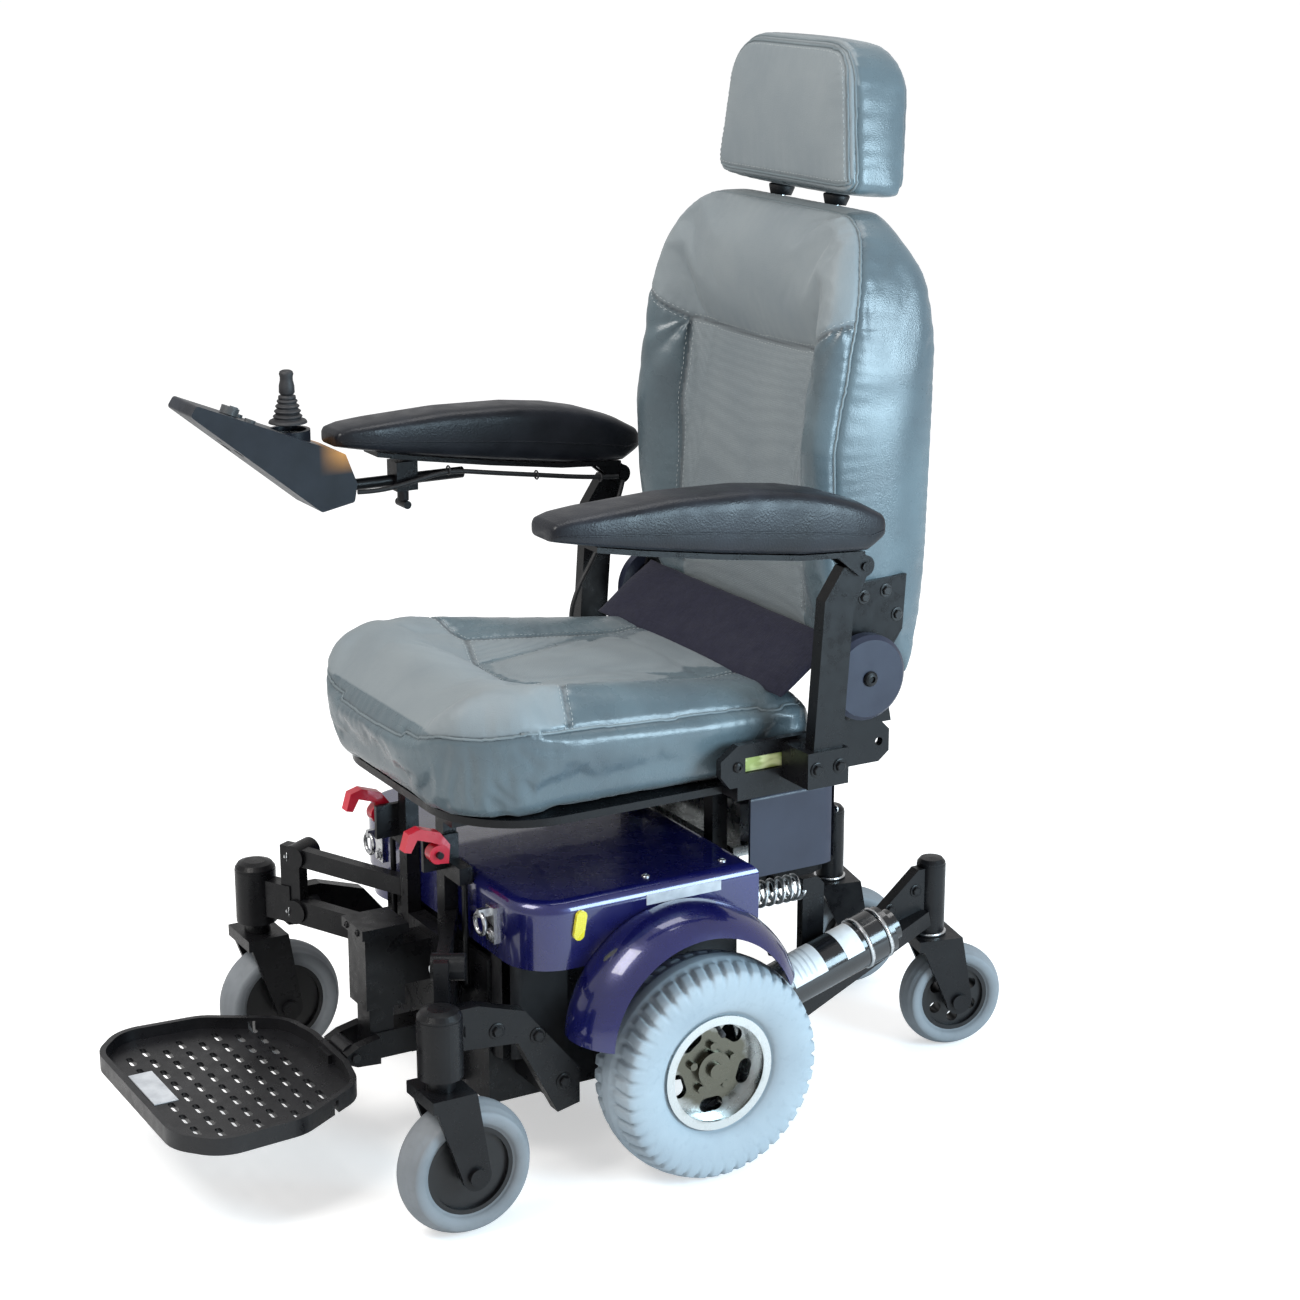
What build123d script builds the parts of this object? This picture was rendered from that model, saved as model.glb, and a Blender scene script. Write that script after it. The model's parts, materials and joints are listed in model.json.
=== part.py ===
from build123d import *
import math
import os

# A mid-wheel-drive power wheelchair with six wheels. It is laid out with the drive wheels' axle at
# y = 0, the floor at z = 0, the front towards -Y and the user's left side towards +X, and is moved
# at the end so that the origin is under the middle of the whole chair. All lengths are millimetres.

# Drive wheels
DRIVE_RADIUS = 130
DRIVE_WIDTH = 82
DRIVE_X = 266
DRIVE_BEAD_RADIUS = 66
AXLE_RADIUS = 9
HALF_WIDTH = DRIVE_X + DRIVE_WIDTH / 2

# Front casters: stem axis, wheel axle and wheel size
FRONT_STEM = (258, -325)
FRONT_TRAIL = 25
FRONT_RADIUS = 77
FRONT_WIDTH = 48
FRONT_HOUSING_Z = (188, 254)
FRONT_STEM_RADIUS = 10
FRONT_CROWN_DROP = 28

# Rear casters, which rest a little swivelled
REAR_STEM = (112, 417)
REAR_TRAIL = 30
REAR_RADIUS = 66
REAR_WIDTH = 42
REAR_HOUSING_Z = (156, 242)
REAR_STEM_RADIUS = 9
REAR_CROWN_DROP = 19
REAR_SPOKE_WINDOWS = 6
REAR_REST_SWIVEL = -12

# Tyres: half width at the shoulder as a share of the widest, and the upright bead as a share of the wall
TYRE_SHOULDER = 0.84
TYRE_BEAD_RISE = 0.08

# Caster wheels: the rim seat, its width and the tread's rise, as shares of the tyre's radius and width
CASTER_BEAD_RADIUS = 0.66
CASTER_BEAD_WIDTH = 0.72
CASTER_CROWN = 0.1

# Chassis
PLATE = 6
CHASSIS_X = 133.5
CHASSIS_FLOOR = 74
BATTERY_BOX_X = 127
BATTERY_BOX_Y = (-190, 92)
BATTERY_BOX_Z = (84, 300)
WALL = 4
TRUNNION_RADIUS = 22
UPRIGHT = 20

# Body shroud and fenders
SHROUD_X = 228
SHROUD_Y = (-205, 92)
SHROUD_Z = (262, 340)
FENDER_CENTRE = (-21, 179)
FENDER_RADIUS = 139
FENDER_ANGLES = (20, 176)

# Seat
SEAT_X = 216
SEAT_Y = (-291, 190)
SEAT_Z = (430.5, 549)
SEAT_SUPPORT_Z = (405, 421)
SEAT_PAN_X = 200
SEAT_PAN_Y = (-255, 188)
SEAT_PAN_ROUNDING = 110
RECLINE_PIVOT = (224, 544)
BRACKET_X = (222, 232)
HINGE_PLATE_X = (216.5, 221.5)
RECLINE_LEVER = (250, 461)
HEADREST_TILT = 8
HEADREST_BASE = (296, 1076)
GAP_COVER_X = 206

# Armrests
ARM_X = 272
PAD_HALF_WIDTH = HALF_WIDTH - ARM_X
ARM_PIVOT = (188, 688)
PAD_UNDERSIDE = [(184, 706.5), (100, 712), (0, 726), (-98, 742), (-150, 752)]

# Controller
CONTROLLER_X = -(HALF_WIDTH - 38)
CONTROLLER_HALF_WIDTH = 38
STICK_Y = -256
STICK_PIVOT_Z = 779
MOUNT_TUBE_Z = 712
MOUNT_TUBE_RADIUS = 7
TOP_SLOPE = 22.4
DIAL_Y = -330
BUTTON_Y = -312

# Footplate
FOOT_PIVOT = (-325, 118)
FOOT_TIP_Y = -580
FOOT_ROUNDING = 52

# Freewheel levers
LEVER_PIVOT = (79, -240, 366)

# Running clearances on a radius, and the gap left beside moving parts
RUNNING = 0.05
GAP = 0.5

CENTRED_BASE = (Align.CENTER, Align.CENTER, Align.MIN)
LEFT = 1
RIGHT = -1
SIDES = {"left": LEFT, "right": RIGHT}


# Shapes that many pieces share


def block(x0, x1, y0, y1, z0, z1):
    """A box between two corners."""
    middle = Pos((x0 + x1) / 2, (y0 + y1) / 2, (z0 + z1) / 2)
    return middle * Box(abs(x1 - x0), abs(y1 - y0), abs(z1 - z0))


def rod(start, end, radius):
    """A round bar from one point to another."""
    along = Vector(*end) - Vector(*start)
    return Plane(origin=start, z_dir=along) * Cylinder(radius, along.length, align=CENTRED_BASE)


def flat_bar(start, end, width, depth):
    """A rectangular bar between two points: its width lies level and its depth stands up."""
    along = Vector(*end) - Vector(*start)
    level = Vector(along.Y, -along.X, 0)
    if level.length < 1:
        level = Vector(1, 0, 0)
    plane = Plane(origin=start, x_dir=level, z_dir=along)
    return extrude(plane * Rectangle(width, depth), along.length, dir=along)


def side_plate(points, x0, x1, radius=0):
    """An outline of (y, z) points, extruded across the chair from x0 to x1."""
    low = min(x0, x1)
    plane = Plane.YZ.offset(low)
    if radius:
        outline = plane * make_face(FilletPolyline(*points, radius=radius, close=True))
    else:
        outline = plane * Polygon(*points, align=None)
    return extrude(outline, abs(x1 - x0), dir=(1, 0, 0))


def side_disc(y, z, radius, x0, x1):
    """A disc whose axis runs across the chair."""
    return rod((min(x0, x1), y, z), (max(x0, x1), y, z), radius)


def turned(edges, centre):
    """A face bounded by edges in (x, radius), turned about a crosswise axis through the centre."""
    return Pos(*centre) * revolve(make_face(Wire(edges)), Axis.X)


def one(shape):
    """The single solid that a piece is made of."""
    solids = shape.solids()
    if len(solids) != 1:
        raise ValueError(f"a piece came out as {len(solids)} solids")
    return solids[0]


def both_sides(shape):
    """A left-hand shape and its mirror image."""
    return [one(shape), one(mirror(shape, Plane.YZ))]


def group(solids):
    """Several separate solids as one node."""
    return Compound(children=list(solids))


def on_side(shape, side):
    """A left-hand shape, mirrored for the right-hand side."""
    return shape if side == LEFT else mirror(shape, Plane.YZ)


# Wheels


def tyre(radius, width, bead_radius, bead_width, crown, centre):
    """A tyre with an upright bead, a bulging sidewall and a crowned tread."""
    bead = bead_width / 2
    half = width / 2
    shoulder_r = radius - crown
    shoulder_x = half * TYRE_SHOULDER
    bead_top = bead_radius + (radius - bead_radius) * TYRE_BEAD_RISE
    bulge_r = (bead_top + shoulder_r) / 2
    edges = [
        Line((-bead, bead_radius), (bead, bead_radius)),
        Line((bead, bead_radius), (bead, bead_top)),
        ThreePointArc((bead, bead_top), (half, bulge_r), (shoulder_x, shoulder_r)),
        ThreePointArc((shoulder_x, shoulder_r), (0, radius), (-shoulder_x, shoulder_r)),
        ThreePointArc((-shoulder_x, shoulder_r), (-half, bulge_r), (-bead, bead_top)),
        Line((-bead, bead_top), (-bead, bead_radius)),
    ]
    return turned(edges, centre)


def drive_rim():
    """Alloy rim with five windows, its hub, the axle and five nuts, on the left-hand side."""
    centre = (DRIVE_X, 0, DRIVE_RADIUS)
    bead = 27
    web = (4, 12)
    nut_circle = 27
    barrel = rod((DRIVE_X - bead, 0, DRIVE_RADIUS), (DRIVE_X + bead, 0, DRIVE_RADIUS), DRIVE_BEAD_RADIUS)
    barrel -= rod((DRIVE_X - bead, 0, DRIVE_RADIUS), (DRIVE_X + bead, 0, DRIVE_RADIUS), 60)
    for side in (LEFT, RIGHT):
        inner = DRIVE_X + side * bead
        outer = DRIVE_X + side * (bead + 3.5)
        flange = side_disc(0, DRIVE_RADIUS, 68, inner, outer) - side_disc(0, DRIVE_RADIUS, 58, inner, outer)
        barrel += flange
    disc = side_disc(0, DRIVE_RADIUS, 61, DRIVE_X + web[0], DRIVE_X + web[1])
    window = Plane.YZ * SlotCenterToCenter(13, 17)
    for index in range(5):
        turn = Location((0, 0, 0), (72 * index + 36, 0, 0))
        opening = extrude(window, web[1] + 1, dir=(1, 0, 0))
        disc -= Pos(*centre) * turn * Pos(0, 0, 45) * opening
    hub = side_disc(0, DRIVE_RADIUS, 21, DRIVE_X - 30, DRIVE_X + 20)
    rim = barrel + disc + hub
    rim -= side_disc(0, DRIVE_RADIUS, AXLE_RADIUS, DRIVE_X - 40, DRIVE_X + 40)
    nuts = []
    for index in range(5):
        turn = Location((0, 0, 0), (72 * index, 0, 0))
        nut = Pos(*centre) * turn * Pos(web[1], 0, nut_circle) * Rot(0, 90, 0)
        nuts.append(nut * extrude(RegularPolygon(5, 6), 6))
    axle = side_disc(0, DRIVE_RADIUS, AXLE_RADIUS, 178, DRIVE_X + 26)
    return [one(rim), one(axle)] + [one(nut) for nut in nuts]


def caster_hub(centre, bead_radius, width, spokes):
    """A caster hub: a solid disc, or a spoked one, with a bore for the axle."""
    x, y, z = centre
    half = width / 2
    hub = side_disc(y, z, bead_radius, x - half, x + half)
    dish = 5
    for side in (LEFT, RIGHT):
        face = x + side * half
        cut = side_disc(y, z, bead_radius - 5, face, face - side * dish)
        cut -= side_disc(y, z, 15, face, face - side * dish)
        hub -= cut
    for index in range(spokes):
        turn = Location((0, 0, 0), (360 / spokes * index, 0, 0))
        window = Pos(x, y, z) * turn * Pos(-half, 0, bead_radius * 0.62)
        hub -= window * side_disc(0, 0, bead_radius * 0.17, 0, width)
    return hub - side_disc(y, z, 6 + RUNNING, x - half, x + half)


def caster_fork(stem, trail, radius, width, housing_z, stem_radius, crown_drop):
    """A caster fork: crown, two legs, stem and the wheel's axle bolt."""
    x, y = stem
    inner = width / 2 + 3
    outer = inner + 6.5
    axle_y = y + trail
    crown_z = housing_z[0] - crown_drop
    crown_top = crown_z + 14
    back = y + trail + 2
    crown = block(x - outer, x + outer, y - 25, back, crown_z, crown_top)
    outline = [(y - 25, crown_top), (back, crown_top), (axle_y + 17, radius), (axle_y - 17, radius)]
    for side in (LEFT, RIGHT):
        near, far = x + side * inner, x + side * outer
        crown += side_plate(outline, near, far)
        crown += side_disc(axle_y, radius, 17, near, far)
    shoulder = rod((x, y, crown_top), (x, y, housing_z[0] - GAP), stem_radius + 6)
    post = rod((x, y, crown_z + 1), (x, y, housing_z[1] - 5), stem_radius)
    fork = crown + shoulder + post
    fork -= side_disc(axle_y, radius, 6, x - outer, x + outer)
    bolt = side_disc(axle_y, radius, 6, x - outer - 4, x + outer + 4)
    for side in (LEFT, RIGHT):
        bolt += side_disc(axle_y, radius, 10, x + side * outer, x + side * (outer + 5))
    return [one(fork), one(bolt)]


def swivelled(shape, stem, angle):
    """Turns a piece of a caster about its stem to its place at rest."""
    pivot = Pos(stem[0], stem[1], 0)
    return pivot * Rot(0, 0, angle) * pivot.inverse() * shape


def caster_parts(stem, trail, radius, width, housing_z, stem_radius, crown_drop, windows):
    """The fork, tyre and hub of one caster, pointing straight back."""
    centre = (stem[0], stem[1] + trail, radius)
    bead_radius = radius * CASTER_BEAD_RADIUS
    bead_width = width * CASTER_BEAD_WIDTH
    fork = caster_fork(stem, trail, radius, width, housing_z, stem_radius, crown_drop)
    tread = tyre(radius, width, bead_radius, bead_width, radius * CASTER_CROWN, centre)
    hub = caster_hub(centre, bead_radius, bead_width, windows)
    return {"fork": fork, "tyre": [one(tread)], "hub": [one(hub)]}


# Drive units: gearbox and motor, rear arm, spring


def drive_motor():
    """Left gearbox with its trunnion and axle bore, and the motor that slopes up behind it."""
    outline = [(-48, 92), (40, 84), (64, 84), (64, 106), (128, 122), (128, 186), (60, 178), (-48, 172)]
    box = side_plate(outline, 150, 210, radius=4)
    nose = side_disc(0, DRIVE_RADIUS, 34, 140, 219)
    trunnion = side_disc(0, DRIVE_RADIUS, TRUNNION_RADIUS, CHASSIS_X - PLATE + GAP, 142)
    gearbox = box + nose + trunnion
    gearbox -= side_disc(0, DRIVE_RADIUS, AXLE_RADIUS + RUNNING, 176, 220)
    front, back = (180, 128, 151), (180, 300, 202)
    gearbox -= rod((180, 120, 148.6), back, 22)
    motor = rod(front, back, 30) + rod((180, 121, 148.9), front, 21.5)
    motor += rod((180, 262, 190.7), (180, 286, 197.8), 31.5)
    cap = rod(back, (180, 312, 205.6), 20)
    return [one(gearbox - motor), one(motor + cap)]


def rear_arm():
    """Left rear arm: lower tube, gusset, caster head tube and the lug that pushes the spring."""
    x, y = REAR_STEM
    tube = flat_bar((196, 66, 90.9), (118, 400, 178), 28, 20)
    tube -= block(100, 260, 0, 64, 60, 128)
    gusset = side_plate([(322, 148), (402, 168), (402, 240), (392, 240), (330, 188)], 105, 121)
    lug = side_plate([(206, 122), (236, 130), (236, 262), (226, 272), (206, 272)], 134, 146)
    head = rod((x, y, REAR_HOUSING_Z[0]), (x, y, REAR_HOUSING_Z[1]), 18)
    arm = tube + gusset + head + lug
    arm -= rod((x, y, 100), (x, y, REAR_HOUSING_Z[1] - 4), 9 + RUNNING)
    return arm


def suspension_spring():
    """Left coil spring, lying between the chassis lug and the rear arm's lug."""
    start, end = 118.2, 205.8
    turns, wire, coil = 7, 2.6, 14
    length = end - start - 2 * wire
    path = Helix(pitch=length / turns, height=length, radius=coil)
    section = Plane(origin=path @ 0, z_dir=path % 0) * Circle(wire)
    spring = sweep(section, path=path)
    return Pos(140, start + wire, 262) * Rot(-90, 0, 0) * spring


# Chassis and body


def chassis_frame():
    """Floor plate, two side plates with the drive units' bores, end plates, uprights and lugs."""
    floor = CHASSIS_FLOOR
    frame = block(-CHASSIS_X, CHASSIS_X, -206, 122, floor, BATTERY_BOX_Z[0])
    for side in (LEFT, RIGHT):
        inner, outer = side * (CHASSIS_X - PLATE), side * CHASSIS_X
        wall = block(inner, outer, -206, 122, floor, 250)
        wall -= side_disc(0, DRIVE_RADIUS, TRUNNION_RADIUS + RUNNING, inner - side, outer + side)
        frame += wall
        frame += block(inner, side * 155, 106, 118, 236, 282)
        frame += block(side * 60, side * 60 - side * UPRIGHT, -222, -205.5, floor, SEAT_SUPPORT_Z[0])
        frame += block(side * 110, side * 90, 102, 122, floor, SEAT_SUPPORT_Z[0])
        frame += block(outer - side, side * 205, -172, -148, 106, 130)
    frame += block(-CHASSIS_X, CHASSIS_X, -206, -200, floor, 250)
    frame += block(-CHASSIS_X, CHASSIS_X, 100, 106, floor, 262)
    return frame


def battery_box():
    """Open-topped box that holds the two batteries."""
    x = BATTERY_BOX_X
    box = block(-x, x, *BATTERY_BOX_Y, *BATTERY_BOX_Z)
    inside = (BATTERY_BOX_Y[0] + WALL, BATTERY_BOX_Y[1] - WALL)
    return box - block(-x + WALL, x - WALL, *inside, BATTERY_BOX_Z[0] + WALL, BATTERY_BOX_Z[1])


def batteries():
    """Two batteries, each with two terminal posts."""
    length = 133
    solids = []
    for front in (BATTERY_BOX_Y[0] + WALL + 2, BATTERY_BOX_Y[1] - WALL - 2 - length):
        cell = block(-118, 118, front, front + length, BATTERY_BOX_Z[0] + WALL, 292)
        for side in (LEFT, RIGHT):
            cell += rod((side * 95, front + 30, 291), (side * 95, front + 30, 306), 8)
        solids.append(one(cell))
    return solids


def front_cover():
    """Black lower cover around the front of the chassis, open behind and below."""
    cover = block(-162, 162, -201, -120, 135, 258)
    corners = cover.edges().filter_by(Axis.Z).group_by(Axis.Y)[0]
    cover = fillet(corners, 24)
    cover -= block(-158, 158, -197, -120, 135, 254)
    cover -= block(-CHASSIS_X - GAP, CHASSIS_X + GAP, -206, -120, 130, 260)
    return [one(solid) for solid in cover.solids()]


def body_shroud():
    """Blue lid over the batteries, with rounded corners, open below."""
    x = SHROUD_X
    lid = block(-x, x, *SHROUD_Y, *SHROUD_Z)
    lid = fillet(lid.edges().filter_by(Axis.Z).group_by(Axis.Y)[0], 55)
    lid = fillet(lid.faces().sort_by(Axis.Z)[-1].edges(), 14)
    hollow = block(-x + WALL, x - WALL, SHROUD_Y[0] + WALL, SHROUD_Y[1] + 1, 200, SHROUD_Z[1] - WALL)
    hollow = fillet(hollow.edges().filter_by(Axis.Z).group_by(Axis.Y)[0], 51)
    hollow = fillet(hollow.faces().sort_by(Axis.Z)[-1].edges(), 10)
    lid -= hollow
    return lid


def fender():
    """Left fender: a thin arch over the drive wheel, turned down along its outer edge."""
    radius = FENDER_RADIUS
    edges = [
        Line((SHROUD_X + GAP, radius), (SHROUD_X + GAP, radius - 4)),
        ThreePointArc((SHROUD_X + GAP, radius - 4), (281, radius - 8), (299, radius - 22)),
        Line((299, radius - 22), (303, radius - 22)),
        ThreePointArc((303, radius - 22), (284, radius - 4), (SHROUD_X + GAP, radius)),
    ]
    start, end = FENDER_ANGLES
    arch = revolve(make_face(Wire(edges)), Axis.X, end - start)
    return Pos(0, *FENDER_CENTRE) * Rot(start, 0, 0) * arch


def side_reflector():
    """Left amber reflector on the shroud's side."""
    capsule = Plane.YZ.offset(SHROUD_X) * SlotOverall(34, 13, rotation=80)
    return Pos(0, -140, 312) * extrude(capsule, 4, dir=(1, 0, 0))


def tie_down_ring():
    """Left steel ring and its lug on the front of the chassis."""
    ring = Pos(148, -221, 302) * Rot(90, 0, 45) * Torus(12, 2.6)
    lug = block(138, 158, -209, -205, 278, 320) + block(145, 151, -224, -208, 310, 319)
    return ring + lug


def power_module():
    """Motor controller with cooling fins, behind the batteries."""
    body = block(-110, 110, 140, 226, 318, 366)
    for index in range(10):
        x = -99 + 22 * index
        body += block(x - 2, x + 2, 140, 226, 365, 376)
    tray = block(-120, 120, 124.5, 236, 306, 318)
    return body + tray


def power_module_cover():
    """Slate-coloured cover over the motor controller, open below."""
    cover = block(-158, 158, 124, 254, 292, 392)
    cover = fillet(cover.edges().filter_by(Axis.Z).group_by(Axis.Y)[-1], 30)
    cover = fillet(cover.faces().sort_by(Axis.Z)[-1].edges().filter_by(Axis.X), 6)
    return cover - block(-154, 154, 120, 250, 290, 388)


def front_arm():
    """Left front arm: two bars, elbow plate, caster housing and the beam back to the chassis."""
    x, y = FRONT_STEM
    low, high = FRONT_HOUSING_Z
    elbow = (205, -296)
    upper = flat_bar((205, -296, 284), (60, -214, 276), 14, 22)
    lower = flat_bar((205, -296, 214), (60, -214, 206), 16, 30)
    plate = flat_bar((elbow[0] - 12, elbow[1] + 7, 250), (elbow[0] + 12, elbow[1] - 7, 250), 16, 92)
    for z in (284, 214):
        plate += rod((193, -303, z), (212, -271, z), 15)
    reach = flat_bar((205, -296, 222), (x, y, 222), 20, 46)
    housing = rod((x, y, low), (x, y, high), 25)
    beam = side_plate([(-305, 194), (-305, 240), (-262, 240), (-205, 222), (-138, 140), (-138, 98),
                       (-166, 92), (-214, 186)], 205.5, 223)
    arm = upper + lower + plate + reach + housing + beam
    arm -= block(0, 60.5, -240, -190, 150, 320)
    arm -= block(0, 150, -206, -180, 150, 320)
    arm -= rod((x, y, low), (x, y, high - 4), 10 + RUNNING)
    return arm


def footrest_hanger():
    """Capped column and the square tube that carries the footplate's hinge."""
    column = block(-24, 24, -306, -258, 168, 262) + block(-29, 29, -311, -253, 256, 268)
    neck = block(-20, 20, -258, -222, 190, 240)
    brace = block(-39.5, 39.5, -222, -206.5, 90, 250)
    tube = block(-19, 19, -300, -222, 104, 136)
    leg = block(-17, 17, -300, -270, 136, 170)
    hanger = column + neck + brace + tube + leg
    y, z = FOOT_PIVOT
    for side in (LEFT, RIGHT):
        ear = side_plate([(-294, 104), (-294, 136), (y + 4, z + 12), (y - 11, z + 4), (y - 11, z - 6),
                          (y + 2, z - 12)], side * 19, side * 33)
        hanger += ear
    return hanger - side_disc(y, z, 5 + RUNNING, -34, 34)


# Footplate


def footplate():
    """Footplate with a raised rim and rows of short slots, its hinge knuckle and pin."""
    y, z = FOOT_PIVOT
    outline = [(-46, -340), (-104, -352), (-158, -440), (-166, -540), (-120, FOOT_TIP_Y),
               (120, FOOT_TIP_Y), (166, -540), (158, -440), (104, -352), (46, -340)]
    outer = make_face(FilletPolyline(*outline, radius=FOOT_ROUNDING, close=True))
    up = (0, 0, 1)
    plate = Pos(0, 0, 104) * extrude(outer, 20, dir=up)
    plate -= Pos(0, 0, 110) * extrude(offset(outer, -7), 20, dir=up)
    slots = []
    for row in range(8):
        shift = 17 if row % 2 else 0
        for column in range(-4, 4):
            slots.append((column * 34 + shift, -545 + 22 * row))
    inner = [point for point in slots if abs(point[0]) < 128]
    for slot_x, slot_y in inner:
        plate -= Pos(slot_x, slot_y, 100) * extrude(SlotOverall(24, 7), 20, dir=up)
    knuckle = block(-15, 15, -352, y + 4, 104, z + 2) + side_disc(y, z, 11, -18.5, 18.5)
    plate += knuckle
    plate -= side_disc(y, z, 5, -34, 34)
    pin = side_disc(y, z, 5, -36, 36)
    return [one(plate), one(pin)]


# Seat and back


def seat_frame():
    """Seat support rails, cross tubes and the seat pan, rounded at the front."""
    low, high = SEAT_SUPPORT_Z
    x = SEAT_PAN_X
    front, rear = SEAT_PAN_Y
    outline = make_face(Polyline((-x, front), (x, front), (x, rear), (-x, rear), close=True))
    outline = fillet(outline.vertices().group_by(Axis.Y)[0], SEAT_PAN_ROUNDING)
    frame = Pos(0, 0, high) * extrude(outline, SEAT_Z[0] - GAP - high, dir=(0, 0, 1))
    for side in (LEFT, RIGHT):
        frame += block(side * 112, side * 88, -236, 180, low, high)
    frame += block(-112, 112, -226, -200, low, high)
    frame += block(-112, 112, 100, 124, low, high)
    return frame


def rounded_pad(outline, plane, height, rounding):
    """A closed outline, extruded, with all its rim edges rounded."""
    pad = extrude(plane * outline, height, dir=plane.z_dir)
    faces = pad.faces().sort_by(Axis(plane.origin, plane.z_dir))
    return fillet(faces[0].edges() + faces[-1].edges(), rounding)


def seat_cushion():
    """Plain seat cushion, broad and rounded at the front."""
    y0, y1 = SEAT_Y
    outline = make_face(Polyline((-SEAT_X, y0), (SEAT_X, y0), (SEAT_X, y1), (-SEAT_X, y1), close=True))
    outline = fillet(outline.vertices().group_by(Axis.Y)[0], 110)
    outline = fillet(outline.vertices().group_by(Axis.Y)[-1], 34)
    return rounded_pad(outline, Plane.XY.offset(SEAT_Z[0]), SEAT_Z[1] - SEAT_Z[0], 26)


def seat_bracket():
    """Left side bracket: rail beside the seat, riser to the recline pivot, tab under the seat."""
    y, z = RECLINE_PIVOT
    x0, x1 = BRACKET_X
    rail = side_plate([(38, 452), (50, 437), (250, 437), (264, 448), (264, 474), (252, 486),
                       (60, 486), (38, 470)], x0, x1)
    riser = side_plate([(176, 484), (266, 484), (252, 556), (196, 556)], x0, x1)
    bracket = rail + riser + side_disc(y, z, 34, x0, x1)
    bracket += block(x0, x1, 60, 180, 421, 440)
    bracket += block(200, x1, 60, 180, 421, SEAT_Z[0] - GAP)
    bracket -= side_plate([(70, 452), (130, 452), (130, 470), (70, 470)], x0, x1)
    bracket -= side_disc(*RECLINE_LEVER, 5 + RUNNING, x0, x1)
    return bracket - side_disc(y, z, 8 + RUNNING, x0, x1)


def hinge_cover():
    """Left round cover over the recline hinge."""
    y, z = RECLINE_PIVOT
    x1 = BRACKET_X[1]
    cover = side_disc(y, z, 50, x1, x1 + 17)
    cover = chamfer(cover.faces().sort_by(Axis.X)[-1].edges(), 5)
    return cover - side_disc(y, z, 36, x1, x1 + 12)


def gap_cover():
    """Padded flap that closes the gap between the seat and the back."""
    y, z = SEAT_Y[1], SEAT_Z[1]
    outline = [(y - 48, z + GAP), (y + 6, z + GAP), (y + 6, z + 36), (y - 14, z + 42), (y - 40, z + 20)]
    return side_plate(outline, -GAP_COVER_X, GAP_COVER_X, radius=5)


def back_frame():
    """Hinge plates with pins, cross-bar, and the flat bars that carry the back cushion."""
    y, z = RECLINE_PIVOT
    x0, x1 = HINGE_PLATE_X
    bar_y, bar_z = y - 10, z + 22
    frame = side_disc(bar_y, bar_z, 12, -x0, x0)
    for side in (LEFT, RIGHT):
        near, far = side * x0, side * x1
        plate = side_plate([(y - 26, z + 4), (y - 24, z + 34), (y - 4, z + 104), (y + 66, z + 108),
                            (y + 62, z + 44), (y + 22, z - 14)], near, far)
        frame += plate + side_disc(y, z, 24, near, far)
        frame += side_disc(y, z, 8, near, side * (BRACKET_X[1] + 8))
    return frame


def back_outline():
    """Front view of the backrest: nearly straight sides, round shoulders."""
    side = [
        Line((-192, 508), (192, 508)),
        Line((192, 508), (215, 600)),
        Line((215, 600), (215, 920)),
        ThreePointArc((215, 920), (192, 1018), (112, 1060)),
        Line((112, 1060), (-112, 1060)),
        ThreePointArc((-112, 1060), (-192, 1018), (-215, 920)),
        Line((-215, 920), (-215, 600)),
        Line((-215, 600), (-192, 508)),
    ]
    return make_face(Wire(side))


def back_cushion():
    """Plain back cushion: side profile crossed with the front outline, with holes for the posts."""
    profile = [(198, 594), (170, 680), (164, 800), (186, 930), (226, 1058), (306, 1062), (340, 985),
               (349, 900), (343, 661), (326, 508), (262, 586)]
    block_side = side_plate(profile, -SEAT_X, SEAT_X, radius=9)
    face = Plane.XZ.offset(-400) * back_outline()
    cushion = block_side & extrude(face, 300, dir=(0, -1, 0))
    for side in (LEFT, RIGHT):
        cushion -= rod(post_point(side, -190), post_point(side, 20), 6 + GAP)
    return cushion


def post_point(side, along):
    """A point on a headrest post, measured from the headrest's underside."""
    lean = math.radians(HEADREST_TILT)
    y = HEADREST_BASE[0] + along * math.sin(lean)
    z = HEADREST_BASE[1] + along * math.cos(lean)
    return (side * 58, y, z)


def headrest_posts():
    """Two steel posts under the headrest."""
    return [one(rod(post_point(side, -170), post_point(side, 60), 6)) for side in SIDES.values()]


def headrest_cushion():
    """Plain headrest: a block that narrows upwards and leans back."""
    outline = make_face(Polyline((-140, 0), (140, 0), (112, 162), (-112, 162), close=True))
    outline = fillet(outline.vertices().group_by(Axis.Y)[-1], 34)
    outline = fillet(outline.vertices().group_by(Axis.Y)[0], 22)
    lean = Plane(origin=(0, HEADREST_BASE[0] + 44, HEADREST_BASE[1]),
                 x_dir=(1, 0, 0), z_dir=(0, -math.cos(math.radians(HEADREST_TILT)),
                                         math.sin(math.radians(HEADREST_TILT))))
    cushion = rounded_pad(outline, lean, 92, 16)
    for side in (LEFT, RIGHT):
        cushion -= rod(post_point(side, -20), post_point(side, 60), 6)
    return cushion


# Armrests


def armrest_post():
    """Left armrest post in its socket, with a lug at the top for the pivot."""
    y, z = ARM_PIVOT
    x0, x1 = ARM_X - 9, ARM_X + 9
    post = side_plate([(126, 446), (164, 446), (178, 640), (y + 9, z - 8), (y, z), (y - 24, z),
                       (140, 652)], x0, x1)
    post += side_disc(y, z, 12, x0, x1)
    socket = block(BRACKET_X[1], ARM_X + 14, 118, 172, 440, 482)
    post += socket
    return post - side_disc(y, z, 5 + RUNNING, x0, x1)


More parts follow.
